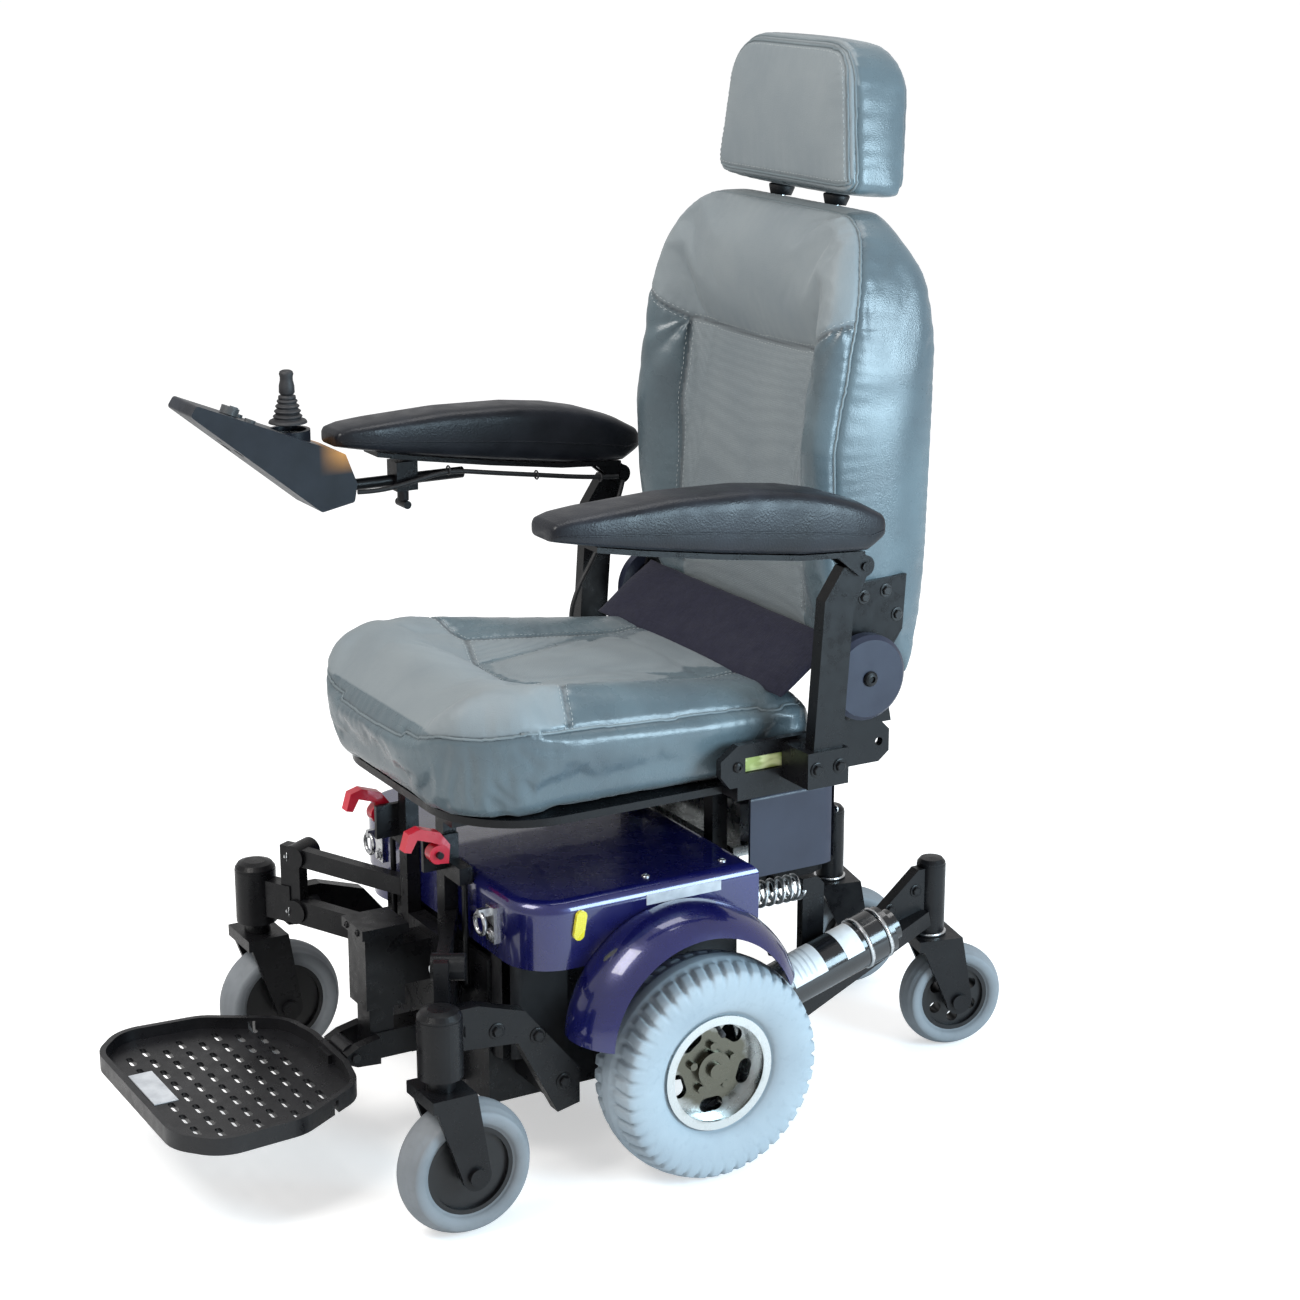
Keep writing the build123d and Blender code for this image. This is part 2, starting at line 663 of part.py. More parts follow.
def armrest_bar():
    """Left armrest bar: a strip that follows the pad's underside, two hinge cheeks and the pin."""
    y, z = ARM_PIVOT
    below = [(py, pz - 6) for py, pz in reversed(PAD_UNDERSIDE)]
    bar = side_plate(PAD_UNDERSIDE + below, ARM_X - 20, ARM_X + 20)
    for side in (LEFT, RIGHT):
        near, far = ARM_X + side * 9.5, ARM_X + side * 15
        cheek = side_plate([(y - 44, 708), (y - 4, 705), (y + 10, z + 4), (y + 6, z - 10),
                            (y - 8, z - 10)], near, far)
        bar += cheek + side_disc(y, z, 12, near, far)
    return bar + side_disc(y, z, 5, ARM_X - 18, ARM_X + 18)


def armrest_pad():
    """Left armrest pad: crowned along its length, tapered at both ends."""
    top = Spline((-202, 778), (-150, 788), (-60, 795), (33, 793), (130, 778), (208, 748))
    lower = PAD_UNDERSIDE + [(-192, 764)]
    edges = [top, Line((208, 748), (205, 722)), Line((205, 722), lower[0])]
    for first, second in zip(lower, lower[1:]):
        edges.append(Line(first, second))
    edges.append(Line(lower[-1], (-202, 778)))
    face = Plane.YZ.offset(ARM_X - PAD_HALF_WIDTH) * make_face(Wire(edges))
    return extrude(face, 2 * PAD_HALF_WIDTH, dir=(1, 0, 0))


# Controller on the right armrest


def top_z(y):
    """Height of the controller's sloping top face."""
    return 834 - (y + 382) * math.tan(math.radians(TOP_SLOPE))


def on_top(x, y, raise_by):
    """A plane on the controller's top face, facing out of it."""
    lean = math.radians(TOP_SLOPE)
    normal = (0, math.sin(lean), math.cos(lean))
    lift = Vector(*normal) * raise_by
    return Plane(origin=Vector(x, y, top_z(y)) + lift, x_dir=(1, 0, 0), z_dir=normal)


def controller_housing():
    """Wedge-shaped housing, hollow, with a round well for the joystick and holes for its controls."""
    x0, x1 = CONTROLLER_X - CONTROLLER_HALF_WIDTH, CONTROLLER_X + CONTROLLER_HALF_WIDTH
    rear_top = top_z(-200)
    outline = [(-390, 822), (-382, top_z(-382)), (-200, rear_top), (-186, 722), (-190, 700), (-232, 692)]
    housing = side_plate(outline, x0, x1, radius=4)
    hollow = [(-352, 800), (-344, 808), (-204, rear_top - 6), (-190, 722), (-194, 705), (-231, 697)]
    housing -= side_plate(hollow, x0 + 4, x1 - 4, radius=1)
    housing += rod((CONTROLLER_X, STICK_Y, 772), (CONTROLLER_X, STICK_Y, 788), 26)
    housing -= rod((CONTROLLER_X, STICK_Y, 750), (CONTROLLER_X, STICK_Y, 792), 21.5)
    for x in (CONTROLLER_X - 20, CONTROLLER_X + 20):
        housing -= on_top(x, BUTTON_Y, -30) * Cylinder(7, 60)
    housing -= on_top(CONTROLLER_X, DIAL_Y, -30) * Cylinder(4, 60)
    housing -= side_disc_y(CONTROLLER_X, MOUNT_TUBE_Z, MOUNT_TUBE_RADIUS, -230, -180)
    return housing


def side_disc_y(x, z, radius, y0, y1):
    """A disc whose axis runs along the chair."""
    return rod((x, y0, z), (x, y1, z), radius)


def gimbal_ring():
    """Ring that tilts fore and aft on two trunnions."""
    x, y, z = CONTROLLER_X, STICK_Y, STICK_PIVOT_Z
    ring = rod((x, y, z - 4), (x, y, z + 4), 15) - rod((x, y, z - 4), (x, y, z + 4), 11)
    ring += side_disc(y, z, 2, x + 13, x + 19.4) + side_disc(y, z, 2, x - 13, x - 19.4)
    ring -= side_disc_y(x, z, 2 + RUNNING, y - 16, y + 16)
    return ring


def gimbal_cradle():
    """Cradle under the joystick that holds the ring's trunnions, with the mount tube's socket."""
    x, y, z = CONTROLLER_X, STICK_Y, STICK_PIVOT_Z
    cradle = rod((x, y, 744), (x, y, 748), 21)
    for side in (LEFT, RIGHT):
        post = block(x + side * 16, x + side * 20, y - 5, y + 5, 748, z + 4)
        cradle += post - side_disc(y, z, 2 + RUNNING, x + side * 15, x + side * 21)
    return cradle


def joystick():
    """Stick with its cross pin, the ribbed boot above the housing, and the knob."""
    x, y, z = CONTROLLER_X, STICK_Y, STICK_PIVOT_Z
    stick = rod((x, y, z - 6), (x, y, z + 76), 4)
    stick += side_disc_y(x, z, 2, y - 14.5, y + 14.5)
    levels = [(800, 17, 4), (805, 13, 3), (808, 16, 4), (812, 12, 3), (815, 15, 4), (819, 11, 5),
              (824, 18, 4), (828, 10, 4)]
    for level, radius, height in levels:
        stick += rod((x, y, level), (x, y, level + height + 0.2), radius)
    knob = rod((x, y, 832), (x, y, 858), 9)
    knob = fillet(knob.faces().sort_by(Axis.Z)[-1].edges(), 3)
    return stick + knob


def push_button(x):
    """A round button that slides in the housing's top face."""
    plane = on_top(x, BUTTON_Y, -6)
    return plane * Cylinder(6.6, 9.5, align=CENTRED_BASE)


def speed_dial():
    """Speed dial with a pointer ridge, on a thin shaft."""
    plane = on_top(CONTROLLER_X, DIAL_Y, 0)
    dial = plane * Pos(0, 0, 0.6) * Cylinder(11, 9, align=CENTRED_BASE)
    dial += plane * Pos(0, 0, -8) * Cylinder(3.9, 12, align=CENTRED_BASE)
    return dial + plane * Pos(0, 4, 9) * Box(3, 10, 4)


def mount_tube():
    """Steel tube that carries the controller and slides in the clamp."""
    return side_disc_y(CONTROLLER_X, MOUNT_TUBE_Z, MOUNT_TUBE_RADIUS, -214, -30)


def clamp_block():
    """Clamp under the right armrest bar, with the knob's threaded hole."""
    x, z = CONTROLLER_X, MOUNT_TUBE_Z
    clamp = block(x - 14, x + 14, -124, -96, 700, 735.5)
    clamp -= side_disc_y(x, z, MOUNT_TUBE_RADIUS + RUNNING, -126, -94)
    return clamp - rod((x, -110, 690), (x, -110, 708), 3 + RUNNING)


def clamp_knob():
    """T-shaped knob that tightens the clamp."""
    x = CONTROLLER_X
    knob = rod((x, -110, 681), (x, -110, 704.5), 3)
    knob += rod((x, -110, 686), (x, -110, 698), 7)
    return knob + rod((x - 13, -110, 682), (x + 13, -110, 682), 5)


# Cables


ARM_CABLE = [(-254, -176, 706), (-250, -150, 705), (-246, -110, 712), (-245, -60, 722),
             (-245, 0, 712), (-245, 60, 703), (-246, 110, 695), (-246, 150, 690), (-246, 176, 688)]
DROP_CABLE = [(-248, 184, 682), (-247, 178, 660), (-244, 160, 630), (-240, 138, 590),
              (-238, 112, 552), (-237, 100, 516), (-237, 106, 488)]


def cable(route, radius, name):
    """A round cable through a hand-picked route, with an arc at every corner."""
    points = [Vector(*point) for point in route]
    radii = []
    for before, here, after in zip(points, points[1:], points[2:]):
        turn = math.radians((here - before).get_angle(after - here))
        shorter = min((here - before).length, (after - here).length)
        radii.append(0.45 * shorter / math.tan(turn / 2))
    print(name, "bend radii", [round(value) for value in radii])
    path = FilletPolyline(*points, radius=radii)
    section = Plane(origin=path @ 0, z_dir=path % 0) * Circle(radius)
    return sweep(section, path=path)


# Levers


def freewheel_lever():
    """Left freewheel lever: red hooked grip on a pivot boss."""
    x, y, z = LEVER_PIVOT
    lever = side_plate([(y - 6, z - 10), (y + 8, z - 8), (y + 8, z + 8), (y - 8, z + 16),
                        (y - 26, z + 22), (y - 34, z + 8), (y - 42, z + 10), (y - 36, z + 30),
                        (y - 22, z + 34), (y + 2, z + 26), (y + 14, z + 10), (y + 12, z - 12)],
                       x - 7, x + 7)
    lever += side_disc(y, z, 11, x - 7, x + 7)
    return lever - side_disc(y, z, 4 + RUNNING, x - 8, x + 8)


def lever_bracket():
    """Left bracket and pin for the freewheel lever, with the vertical rod to the brake."""
    x, y, z = LEVER_PIVOT
    bracket = block(60, 66, y - 10, -206, 340, 380)
    bracket += block(60, 100, y + 18, -206, 330, 350)
    bracket += side_disc(y, z, 4, 60, x + 12)
    bracket += rod((96, y + 26, 210), (96, y + 26, 350), 3.5)
    return bracket


def recline_lever():
    """Lever at the right-hand recline hinge, pointing backwards."""
    x0, x1 = -(BRACKET_X[1] + 1), -(BRACKET_X[1] + 9)
    lever = side_plate([(238, 452), (238, 468), (262, 470), (336, 480), (340, 470), (336, 464),
                        (262, 450)], x0, x1)
    lever += side_disc(*RECLINE_LEVER, 12, x0, x1)
    return lever + side_disc(*RECLINE_LEVER, 5, x0, -(BRACKET_X[0] + 1))


# The whole chair


def sided(name, left_shape):
    """Left-hand and right-hand nodes of a list of solids."""
    nodes = {}
    for side_name, side in SIDES.items():
        nodes[f"{name}_{side_name}"] = [one(on_side(solid, side)) for solid in left_shape]
    return nodes


def drive_nodes():
    """Drive wheels and the units that turn them."""
    tread = tyre(DRIVE_RADIUS, DRIVE_WIDTH, DRIVE_BEAD_RADIUS, 54, 7, (DRIVE_X, 0, DRIVE_RADIUS))
    nodes = sided("drive_tyre", [one(tread)])
    nodes.update(sided("drive_rim", drive_rim()))
    nodes.update(sided("drive_motor", drive_motor()))
    nodes.update(sided("rear_arm", [one(rear_arm())]))
    nodes.update(sided("suspension_spring", [one(suspension_spring())]))
    return nodes


def caster_nodes():
    """Front casters, which point straight back, and rear casters, which rest a little swivelled."""
    front = (FRONT_TRAIL, FRONT_RADIUS, FRONT_WIDTH, FRONT_HOUSING_Z, FRONT_STEM_RADIUS, FRONT_CROWN_DROP, 0)
    rear = (REAR_TRAIL, REAR_RADIUS, REAR_WIDTH, REAR_HOUSING_Z, REAR_STEM_RADIUS, REAR_CROWN_DROP,
            REAR_SPOKE_WINDOWS)
    ends = {"front": (FRONT_STEM, front, 0), "rear": (REAR_STEM, rear, REAR_REST_SWIVEL)}
    nodes = {}
    for end, ((x, y), layout, angle) in ends.items():
        for side_name, side in SIDES.items():
            stem = (x * side, y)
            for part, solids in caster_parts(stem, *layout).items():
                turned_solids = [swivelled(solid, stem, angle) for solid in solids]
                nodes[f"{end}_caster_{part}_{side_name}"] = turned_solids
    return nodes


def base_nodes():
    """Chassis, batteries, covers, front arms and footrest hanger."""
    return {
        "chassis_frame": [one(chassis_frame())] + both_sides(lever_bracket()),
        "battery_box": [one(battery_box())] + front_cover(),
        "batteries": batteries(),
        "body_shroud": [one(body_shroud())],
        "fenders": both_sides(fender()),
        "side_reflectors": both_sides(side_reflector()),
        "tie_down_rings": both_sides(tie_down_ring()),
        "power_module": [one(power_module())],
        "power_module_cover": [one(power_module_cover())],
        "front_arms": both_sides(front_arm()),
        "footrest_hanger": [one(footrest_hanger())],
        "footplate": footplate(),
    }


def seat_nodes():
    """Seat, back, headrest and armrests."""
    nodes = {
        "seat_frame": [one(seat_frame())],
        "seat_cushion": [one(seat_cushion())],
        "seat_brackets": both_sides(seat_bracket()) + both_sides(armrest_post()),
        "hinge_covers": both_sides(hinge_cover()),
        "gap_cover": [one(gap_cover())],
        "back_frame": [one(back_frame())],
        "back_cushion": [one(back_cushion())],
        "headrest_posts": headrest_posts(),
        "headrest_cushion": [one(headrest_cushion())],
        "recline_lever": [one(recline_lever())],
    }
    nodes.update(sided("armrest_bar", [one(armrest_bar())]))
    nodes["armrest_bar_right"].append(one(clamp_block()))
    nodes.update(sided("armrest_pad", [one(armrest_pad())]))
    nodes.update(sided("freewheel_lever", [one(freewheel_lever())]))
    return nodes


def controller_nodes():
    """Controller, its mount and its cable."""
    return {
        "controller_housing": [one(controller_housing())],
        "controller_mount": [one(gimbal_cradle()), one(mount_tube())],
        "joystick_gimbal": [one(gimbal_ring())],
        "joystick": [one(joystick())],
        "power_button": [one(push_button(CONTROLLER_X + 20))],
        "horn_button": [one(push_button(CONTROLLER_X - 20))],
        "speed_dial": [one(speed_dial())],
        "clamp_knob": [one(clamp_knob())],
        "cable_arm": [one(cable(ARM_CABLE, 3, "cable_arm"))],
        "cable_drop": [one(cable(DROP_CABLE, 3, "cable_drop"))],
    }


def build():
    """Every node as a list of solids, moved so that the origin is under the chair's middle."""
    nodes = {}
    for make in (drive_nodes, caster_nodes, base_nodes, seat_nodes, controller_nodes):
        nodes.update(make())
    everything = group(solid for solids in nodes.values() for solid in solids)
    middle = everything.bounding_box().center()
    return nodes, Pos(-middle.X, -middle.Y, 0)


nodes, to_origin = build()
os.makedirs("parts", exist_ok=True)
for node, solids in nodes.items():
    export_step(group(to_origin * solid for solid in solids), f"parts/{node}.step")
print(len(nodes), "nodes, moved by", to_origin.position)
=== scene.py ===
import json
import math

import bpy
import numpy as np
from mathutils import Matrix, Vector, noise
from mathutils.bvhtree import BVHTree
from mathutils.kdtree import KDTree


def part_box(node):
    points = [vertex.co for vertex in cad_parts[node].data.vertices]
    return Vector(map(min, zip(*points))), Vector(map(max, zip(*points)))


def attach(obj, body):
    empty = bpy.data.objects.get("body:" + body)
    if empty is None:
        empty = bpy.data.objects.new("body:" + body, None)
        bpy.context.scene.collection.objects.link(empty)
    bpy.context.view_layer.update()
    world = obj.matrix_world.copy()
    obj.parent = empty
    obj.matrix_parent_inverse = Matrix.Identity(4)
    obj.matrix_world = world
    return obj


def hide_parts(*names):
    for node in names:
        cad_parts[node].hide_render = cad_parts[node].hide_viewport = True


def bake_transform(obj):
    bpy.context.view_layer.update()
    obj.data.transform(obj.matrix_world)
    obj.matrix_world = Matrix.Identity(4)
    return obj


# The looks of a mid-wheel-drive power wheelchair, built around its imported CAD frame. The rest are
# given in millimetres from the drive axle line: X to the user's left, Y backwards, Z up from the
# floor.

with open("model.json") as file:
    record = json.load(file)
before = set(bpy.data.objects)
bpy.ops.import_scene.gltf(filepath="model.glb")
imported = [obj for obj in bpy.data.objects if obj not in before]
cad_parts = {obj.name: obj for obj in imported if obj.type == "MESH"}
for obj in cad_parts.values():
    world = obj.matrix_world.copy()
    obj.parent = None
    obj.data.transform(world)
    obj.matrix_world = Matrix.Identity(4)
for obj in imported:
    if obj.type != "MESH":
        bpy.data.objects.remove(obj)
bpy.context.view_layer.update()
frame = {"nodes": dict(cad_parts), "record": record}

MM = 0.001
SIDES = {"left": 1, "right": -1}
UP = Vector((0, 0, 1))
AHEAD = Vector((0, -1, 0))
AXLE_Y = sum(corner.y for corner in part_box("drive_tyre_left")) / 2


def at(x, y, z):
    """A place in chair millimetres as a frame point in metres."""
    return Vector((x * MM, AXLE_Y + y * MM, z * MM))


# Camera, floor and light

CAMERA_TARGET = Vector((0.219, -0.011, 0.609))
CAMERA_VIEW = (60.08, 16.08, 2.95)
CAMERA_LENS = 75.4
LIGHT_TARGET = Vector((0, 0, 0.6))
BACKDROP_STRENGTH = 1.15
WORLD_STRENGTH = 0.62
FLOOR_GLOW = 0.5
FLOOR_HALF = 40.0


def aimed(name, data, target, azimuth, elevation, distance):
    """A camera or a light that looks at a target from an azimuth and an elevation in degrees."""
    azimuth, elevation = math.radians(azimuth), math.radians(elevation)
    level = math.cos(elevation)
    away = Vector((math.sin(azimuth) * level, -math.cos(azimuth) * level, math.sin(elevation)))
    obj = bpy.data.objects.new(name, data)
    bpy.context.scene.collection.objects.link(obj)
    obj.location = target + away * distance
    obj.rotation_euler = (-away).to_track_quat("-Z", "Y").to_euler()
    return obj


def make_camera():
    """A long lens that looks at the chair's left front."""
    data = bpy.data.cameras.new("camera")
    data.lens = CAMERA_LENS
    data.sensor_width = 36
    data.clip_end = 60
    bpy.context.scene.camera = aimed("camera", data, CAMERA_TARGET, *CAMERA_VIEW)


def area_light(name, view, size, power, colour):
    """A soft square light that faces the chair."""
    data = bpy.data.lights.new(name, "AREA")
    data.size = size
    data.energy = power
    data.color = colour
    aimed(name, data, LIGHT_TARGET, *view).visible_camera = False


def make_studio():
    """A white world and three soft lights."""
    scene = bpy.context.scene
    world = bpy.data.worlds.new("studio")
    world.use_nodes = True
    nodes = world.node_tree.nodes
    background = nodes["Background"]
    background.inputs["Color"].default_value = (1, 1, 1, 1)
    strength = nodes.new("ShaderNodeMapRange")
    strength.inputs["To Min"].default_value = WORLD_STRENGTH
    strength.inputs["To Max"].default_value = BACKDROP_STRENGTH
    seen = nodes.new("ShaderNodeLightPath").outputs["Is Camera Ray"]
    world.node_tree.links.new(seen, strength.inputs["Value"])
    world.node_tree.links.new(strength.outputs["Result"], background.inputs["Strength"])
    scene.world = world
    scene.view_settings.view_transform = "Standard"
    area_light("key", (10, 48, 2.6), 1.2, 46, (1.0, 0.98, 0.95))
    area_light("side", (120, 9, 2.3), 1.0, 58, (0.62, 0.85, 1.0))
    area_light("top", (200, 75, 2.8), 1.4, 26, (1.0, 1.0, 1.0))


# Materials


# Each material under the name of the record slot that it finishes, or of the detail that it is for.
LOOKS = {}


class Shader:
    """A Principled material with procedural colour, roughness and bump."""

    def __init__(self, name, **fixed):
        self.name = name
        self.material = bpy.data.materials.new(name)
        self.material.use_nodes = True
        self.tree = self.material.node_tree
        self.bsdf = self.tree.nodes["Principled BSDF"]
        for key, value in fixed.items():
            self.bsdf.inputs[key.replace("_", " ")].default_value = value
        self.place = self.add("ShaderNodeTexCoord").outputs["Object"]
        self.normal = None

    def add(self, kind, links=None, **settings):
        """A node, with its inputs linked to sockets or set to values."""
        node = self.tree.nodes.new(kind)
        for key, value in settings.items():
            setattr(node, key, value)
        for key, value in (links or {}).items():
            if isinstance(value, bpy.types.NodeSocket):
                self.tree.links.new(value, node.inputs[key])
            else:
                node.inputs[key].default_value = value
        return node

    def stretched(self, scale):
        """The object coordinates, scaled along each axis."""
        return self.add("ShaderNodeMapping", {"Vector": self.place, "Scale": scale}).outputs["Vector"]

    def noise(self, scale, detail, place=None):
        """Soft noise from 0 to 1. The scale is in blotches for each metre."""
        links = {"Vector": place or self.place, "Scale": scale, "Detail": detail}
        return self.add("ShaderNodeTexNoise", links).outputs["Fac"]

    def cloud(self, scale, detail, low=0, high=1):
        """Soft noise, stretched to a range."""
        return self.remap(self.noise(scale, detail), 0.3, 0.7, low, high)

    def cells(self, scale, randomness=1.0, feature="F1"):
        """The distance to the nearest of many scattered points."""
        links = {"Vector": self.place, "Scale": scale, "Randomness": randomness}
        return self.add("ShaderNodeTexVoronoi", links, feature=feature).outputs["Distance"]

    def attribute(self, name):
        """A number kept on the mesh's points."""
        return self.add("ShaderNodeAttribute", attribute_name=name).outputs["Fac"]

    def remap(self, value, low, high, new_low, new_high):
        """A value moved from one range to another, and kept inside it."""
        links = {"Value": value, "From Min": low, "From Max": high,
                 "To Min": new_low, "To Max": new_high}
        return self.add("ShaderNodeMapRange", links).outputs["Result"]

    def math(self, operation, first, second):
        """One sum on two values."""
        return self.add("ShaderNodeMath", {0: first, 1: second}, operation=operation).outputs[0]

    def mix(self, share, first, second):
        """A blend of two colours."""
        first, second = (colour if isinstance(colour, bpy.types.NodeSocket) else (*colour, 1)
                         for colour in (first, second))
        return self.add("ShaderNodeMix", {0: share, 6: first, 7: second}, data_type="RGBA").outputs[2]

    def bump(self, height, depth, strength=1.0):
        """Adds a height in metres to the surface's normal."""
        links = {"Height": height, "Distance": depth, "Strength": strength}
        if self.normal:
            links["Normal"] = self.normal
        self.normal = self.add("ShaderNodeBump", links).outputs["Normal"]

    def finish(self, colour, roughness):
        """Links the colour, roughness and normal, and keeps the material."""
        for name, socket in (("Base Color", colour), ("Roughness", roughness), ("Normal", self.normal)):
            if socket:
                self.tree.links.new(socket, self.bsdf.inputs[name])
        LOOKS[self.name] = self.material


def surface(name, dark, light, rough, blotches=14, grain=900, depth=0.00008, **fixed):
    """A material with slightly uneven colour, uneven gloss and a fine grain."""
    shader = Shader(name, **fixed)
    shader.bump(shader.noise(grain, 2), depth)
    shader.finish(shader.mix(shader.cloud(blotches, 5), dark, light), shader.cloud(blotches * 5, 4, *rough))


def upholstery(name, flat_dark, flat_light, gloss_dark, gloss_light):
    """Seat covering: matt panels, glossier vinyl, a knitted centre panel and creased seams with painted shade
    along them.
    """
    shader = Shader(name, Sheen_Weight=0.12, Sheen_Roughness=0.4, Specular_IOR_Level=0.5)
    gloss, weave, seam = (shader.attribute(key) for key in ("gloss", "weave", "seam"))
    blotch = shader.cloud(11, 5)
    flat = shader.mix(blotch, flat_dark, flat_light)
    colour = shader.mix(gloss, flat, shader.mix(blotch, gloss_dark, gloss_light))
    knit = shader.cells(420, 0.12)
    dots = shader.math("MULTIPLY", shader.remap(knit, 0.25, 0.6, 0, 0.35), weave)
    colour = shader.mix(dots, colour, [0.55 * value for value in flat_dark])
    # painted shade: near black in the seam grooves
    colour = shader.mix(shader.math("MULTIPLY", seam, 0.75), colour, (0.03, 0.035, 0.04))
    shader.bump(shader.cells(620), 0.00022, 0.6)
    shader.bump(shader.math("MULTIPLY", knit, weave), 0.0007, 0.8)
    shader.bump(shader.noise(45, 3), 0.0007, 0.22)
    rub = shader.cloud(34, 4, -0.05, 0.07)
    shader.finish(colour, shader.math("ADD", shader.remap(gloss, 0, 1, 0.55, 0.27), rub))


def metallic_paint(name, dark, light):
    """Blue paint with fine flakes under a clear coat."""
    shader = Shader(name, Metallic=0.35, Coat_Weight=1.0, Coat_Roughness=0.06, Specular_IOR_Level=0.6)
    colour = shader.mix(shader.cloud(5, 3, 0, 0.6), dark, light)
    flake = shader.math("MULTIPLY", shader.remap(shader.cells(1800), 0.1, 0.5, 1, 0), 0.25)
    shader.bump(shader.noise(260, 2), 0.00006)
    shader.finish(shader.mix(flake, colour, [2.2 * value for value in light]), shader.cloud(45, 4, 0.2, 0.34))


def brushed(name, dark, light, rough):
    """Bare metal with fine marks."""
    shader = Shader(name, Metallic=1.0)
    marks = shader.noise(260, 3)
    shader.bump(marks, 0.00006)
    shader.finish(shader.mix(shader.remap(marks, 0.3, 0.7, 0, 1), dark, light), shader.cloud(40, 4, *rough))


def cast_alloy(name, painted_hub_shade, bright):
    """Cast wheel alloy: bright on the flange, with painted shade towards the hub where a deep dish would lie
    in shadow.
    """
    shader = Shader(name, Metallic=1.0)
    axis = shader.add("ShaderNodeSeparateXYZ", {"Vector": shader.place}).outputs
    squares = []
    for place, middle in ((axis["Y"], AXLE_Y), (axis["Z"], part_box("drive_tyre_left")[1].z / 2)):
        offset = shader.math("SUBTRACT", place, middle)
        squares.append(shader.math("MULTIPLY", offset, offset))
    radius = shader.math("SQRT", shader.math("ADD", *squares), 0)
    reach = shader.math("ADD", radius, shader.cloud(70, 4, -0.004, 0.004))
    shader.bump(shader.noise(500, 3), 0.0001)
    # painted shade: the alloy turns darker inside a radius of about 0.05 m
    shader.finish(shader.mix(shader.remap(reach, 0.042, 0.06, 0, 1), painted_hub_shade, bright),
                  shader.cloud(70, 4, 0.2, 0.34))


def floor_paper():
    """Pale studio paper that the camera sees as bright as the backdrop."""
    shader = Shader("floor", Emission_Color=(1, 1, 1, 1))
    seen = shader.add("ShaderNodeLightPath").outputs["Is Camera Ray"]
    glow = shader.math("MULTIPLY", seen, FLOOR_GLOW)
    shader.tree.links.new(glow, shader.bsdf.inputs["Emission Strength"])
    colour = shader.mix(shader.noise(2, 2), (0.84, 0.84, 0.84), (0.86, 0.86, 0.86))
    shader.finish(colour, shader.cloud(30, 2, 0.72, 0.8))


def tyre_rubber(name, dark, light):
    """Pale solid-tyre rubber with scuffs and road dust."""
    shader = Shader(name, Specular_IOR_Level=0.35)
    colour = shader.mix(shader.remap(shader.noise(9, 4), 0.35, 0.7, 0, 1), light, dark)
    scuff = shader.remap(shader.noise(120, 5), 0.56, 0.68, 0, 0.14)
    shader.bump(shader.noise(900, 3), 0.00015)
    shader.finish(shader.mix(scuff, colour, [0.72 * value for value in dark]), shader.cloud(70, 4, 0.5, 0.72))


def lens(name, dark, light):
    """A moulded reflector, with small prisms under a smooth face."""
    shader = Shader(name, Coat_Weight=1.0, Coat_Roughness=0.03)
    prisms = shader.cells(420, 0.0)
    shader.bump(prisms, 0.0008)
    shader.finish(shader.mix(shader.remap(prisms, 0.2, 0.6, 0, 1), light, dark),
                  shader.cloud(60, 3, 0.12, 0.25))


def plastic_with_painted_reflection(name, dark, light, reflection_colour, reflection_y):
    """Dark controller plastic with a painted warm reflection towards its rear top."""
    shader = Shader(name, Specular_IOR_Level=0.3)
    axis = shader.add("ShaderNodeSeparateXYZ", {"Vector": shader.place}).outputs
    # painted reflection: a warm highlight colour blended in at the rear top of the controller
    painted_reflection = shader.math("MULTIPLY", shader.remap(axis["Y"], reflection_y - 0.03, reflection_y, 0, 1),
                       shader.remap(axis["Z"], 0.735, 0.76, 0, 1))
    shader.bump(shader.noise(1500, 2), 0.00008)
    colour = shader.mix(shader.cloud(30, 4), dark, light)
    shader.finish(shader.mix(shader.math("MULTIPLY", painted_reflection, 0.8), colour, reflection_colour),
                  shader.cloud(90, 4, 0.28, 0.42))


def pad_leather(name, dark, light):
    """Moulded skin of the armrest pads: black, pebbled and unevenly glossy."""
    shader = Shader(name, Specular_IOR_Level=0.3)
    shader.bump(shader.cells(500, feature="SMOOTH_F1"), 0.0003, 0.7)
    shader.finish(shader.mix(shader.cloud(20, 5), dark, light), shader.cloud(40, 4, 0.3, 0.46))


def cloth(name, dark, light):
    """Dark woven cloth with a visible thread."""
    shader = Shader(name, Sheen_Weight=0.08, Sheen_Roughness=0.5, Specular_IOR_Level=0.3)
    warp = shader.noise(700, 2, shader.stretched((1, 0.15, 0.15)))
    weft = shader.noise(700, 2, shader.stretched((0.15, 1, 1)))
    thread = shader.math("ADD", warp, weft)
    shader.bump(thread, 0.0004)
    shader.finish(shader.mix(shader.remap(thread, 0.7, 1.3, 0, 1), dark, light),
                  shader.cloud(50, 3, 0.7, 0.9))


def stripes(name, dark, light):
    """A plain two-tone label."""
    shader = Shader(name, Specular_IOR_Level=0.5)
    band = shader.remap(shader.noise(90, 1, shader.stretched((1, 0.35, 1))), 0.45, 0.55, 0, 1)
    shader.finish(shader.mix(band, dark, light), shader.cloud(60, 3, 0.3, 0.5))


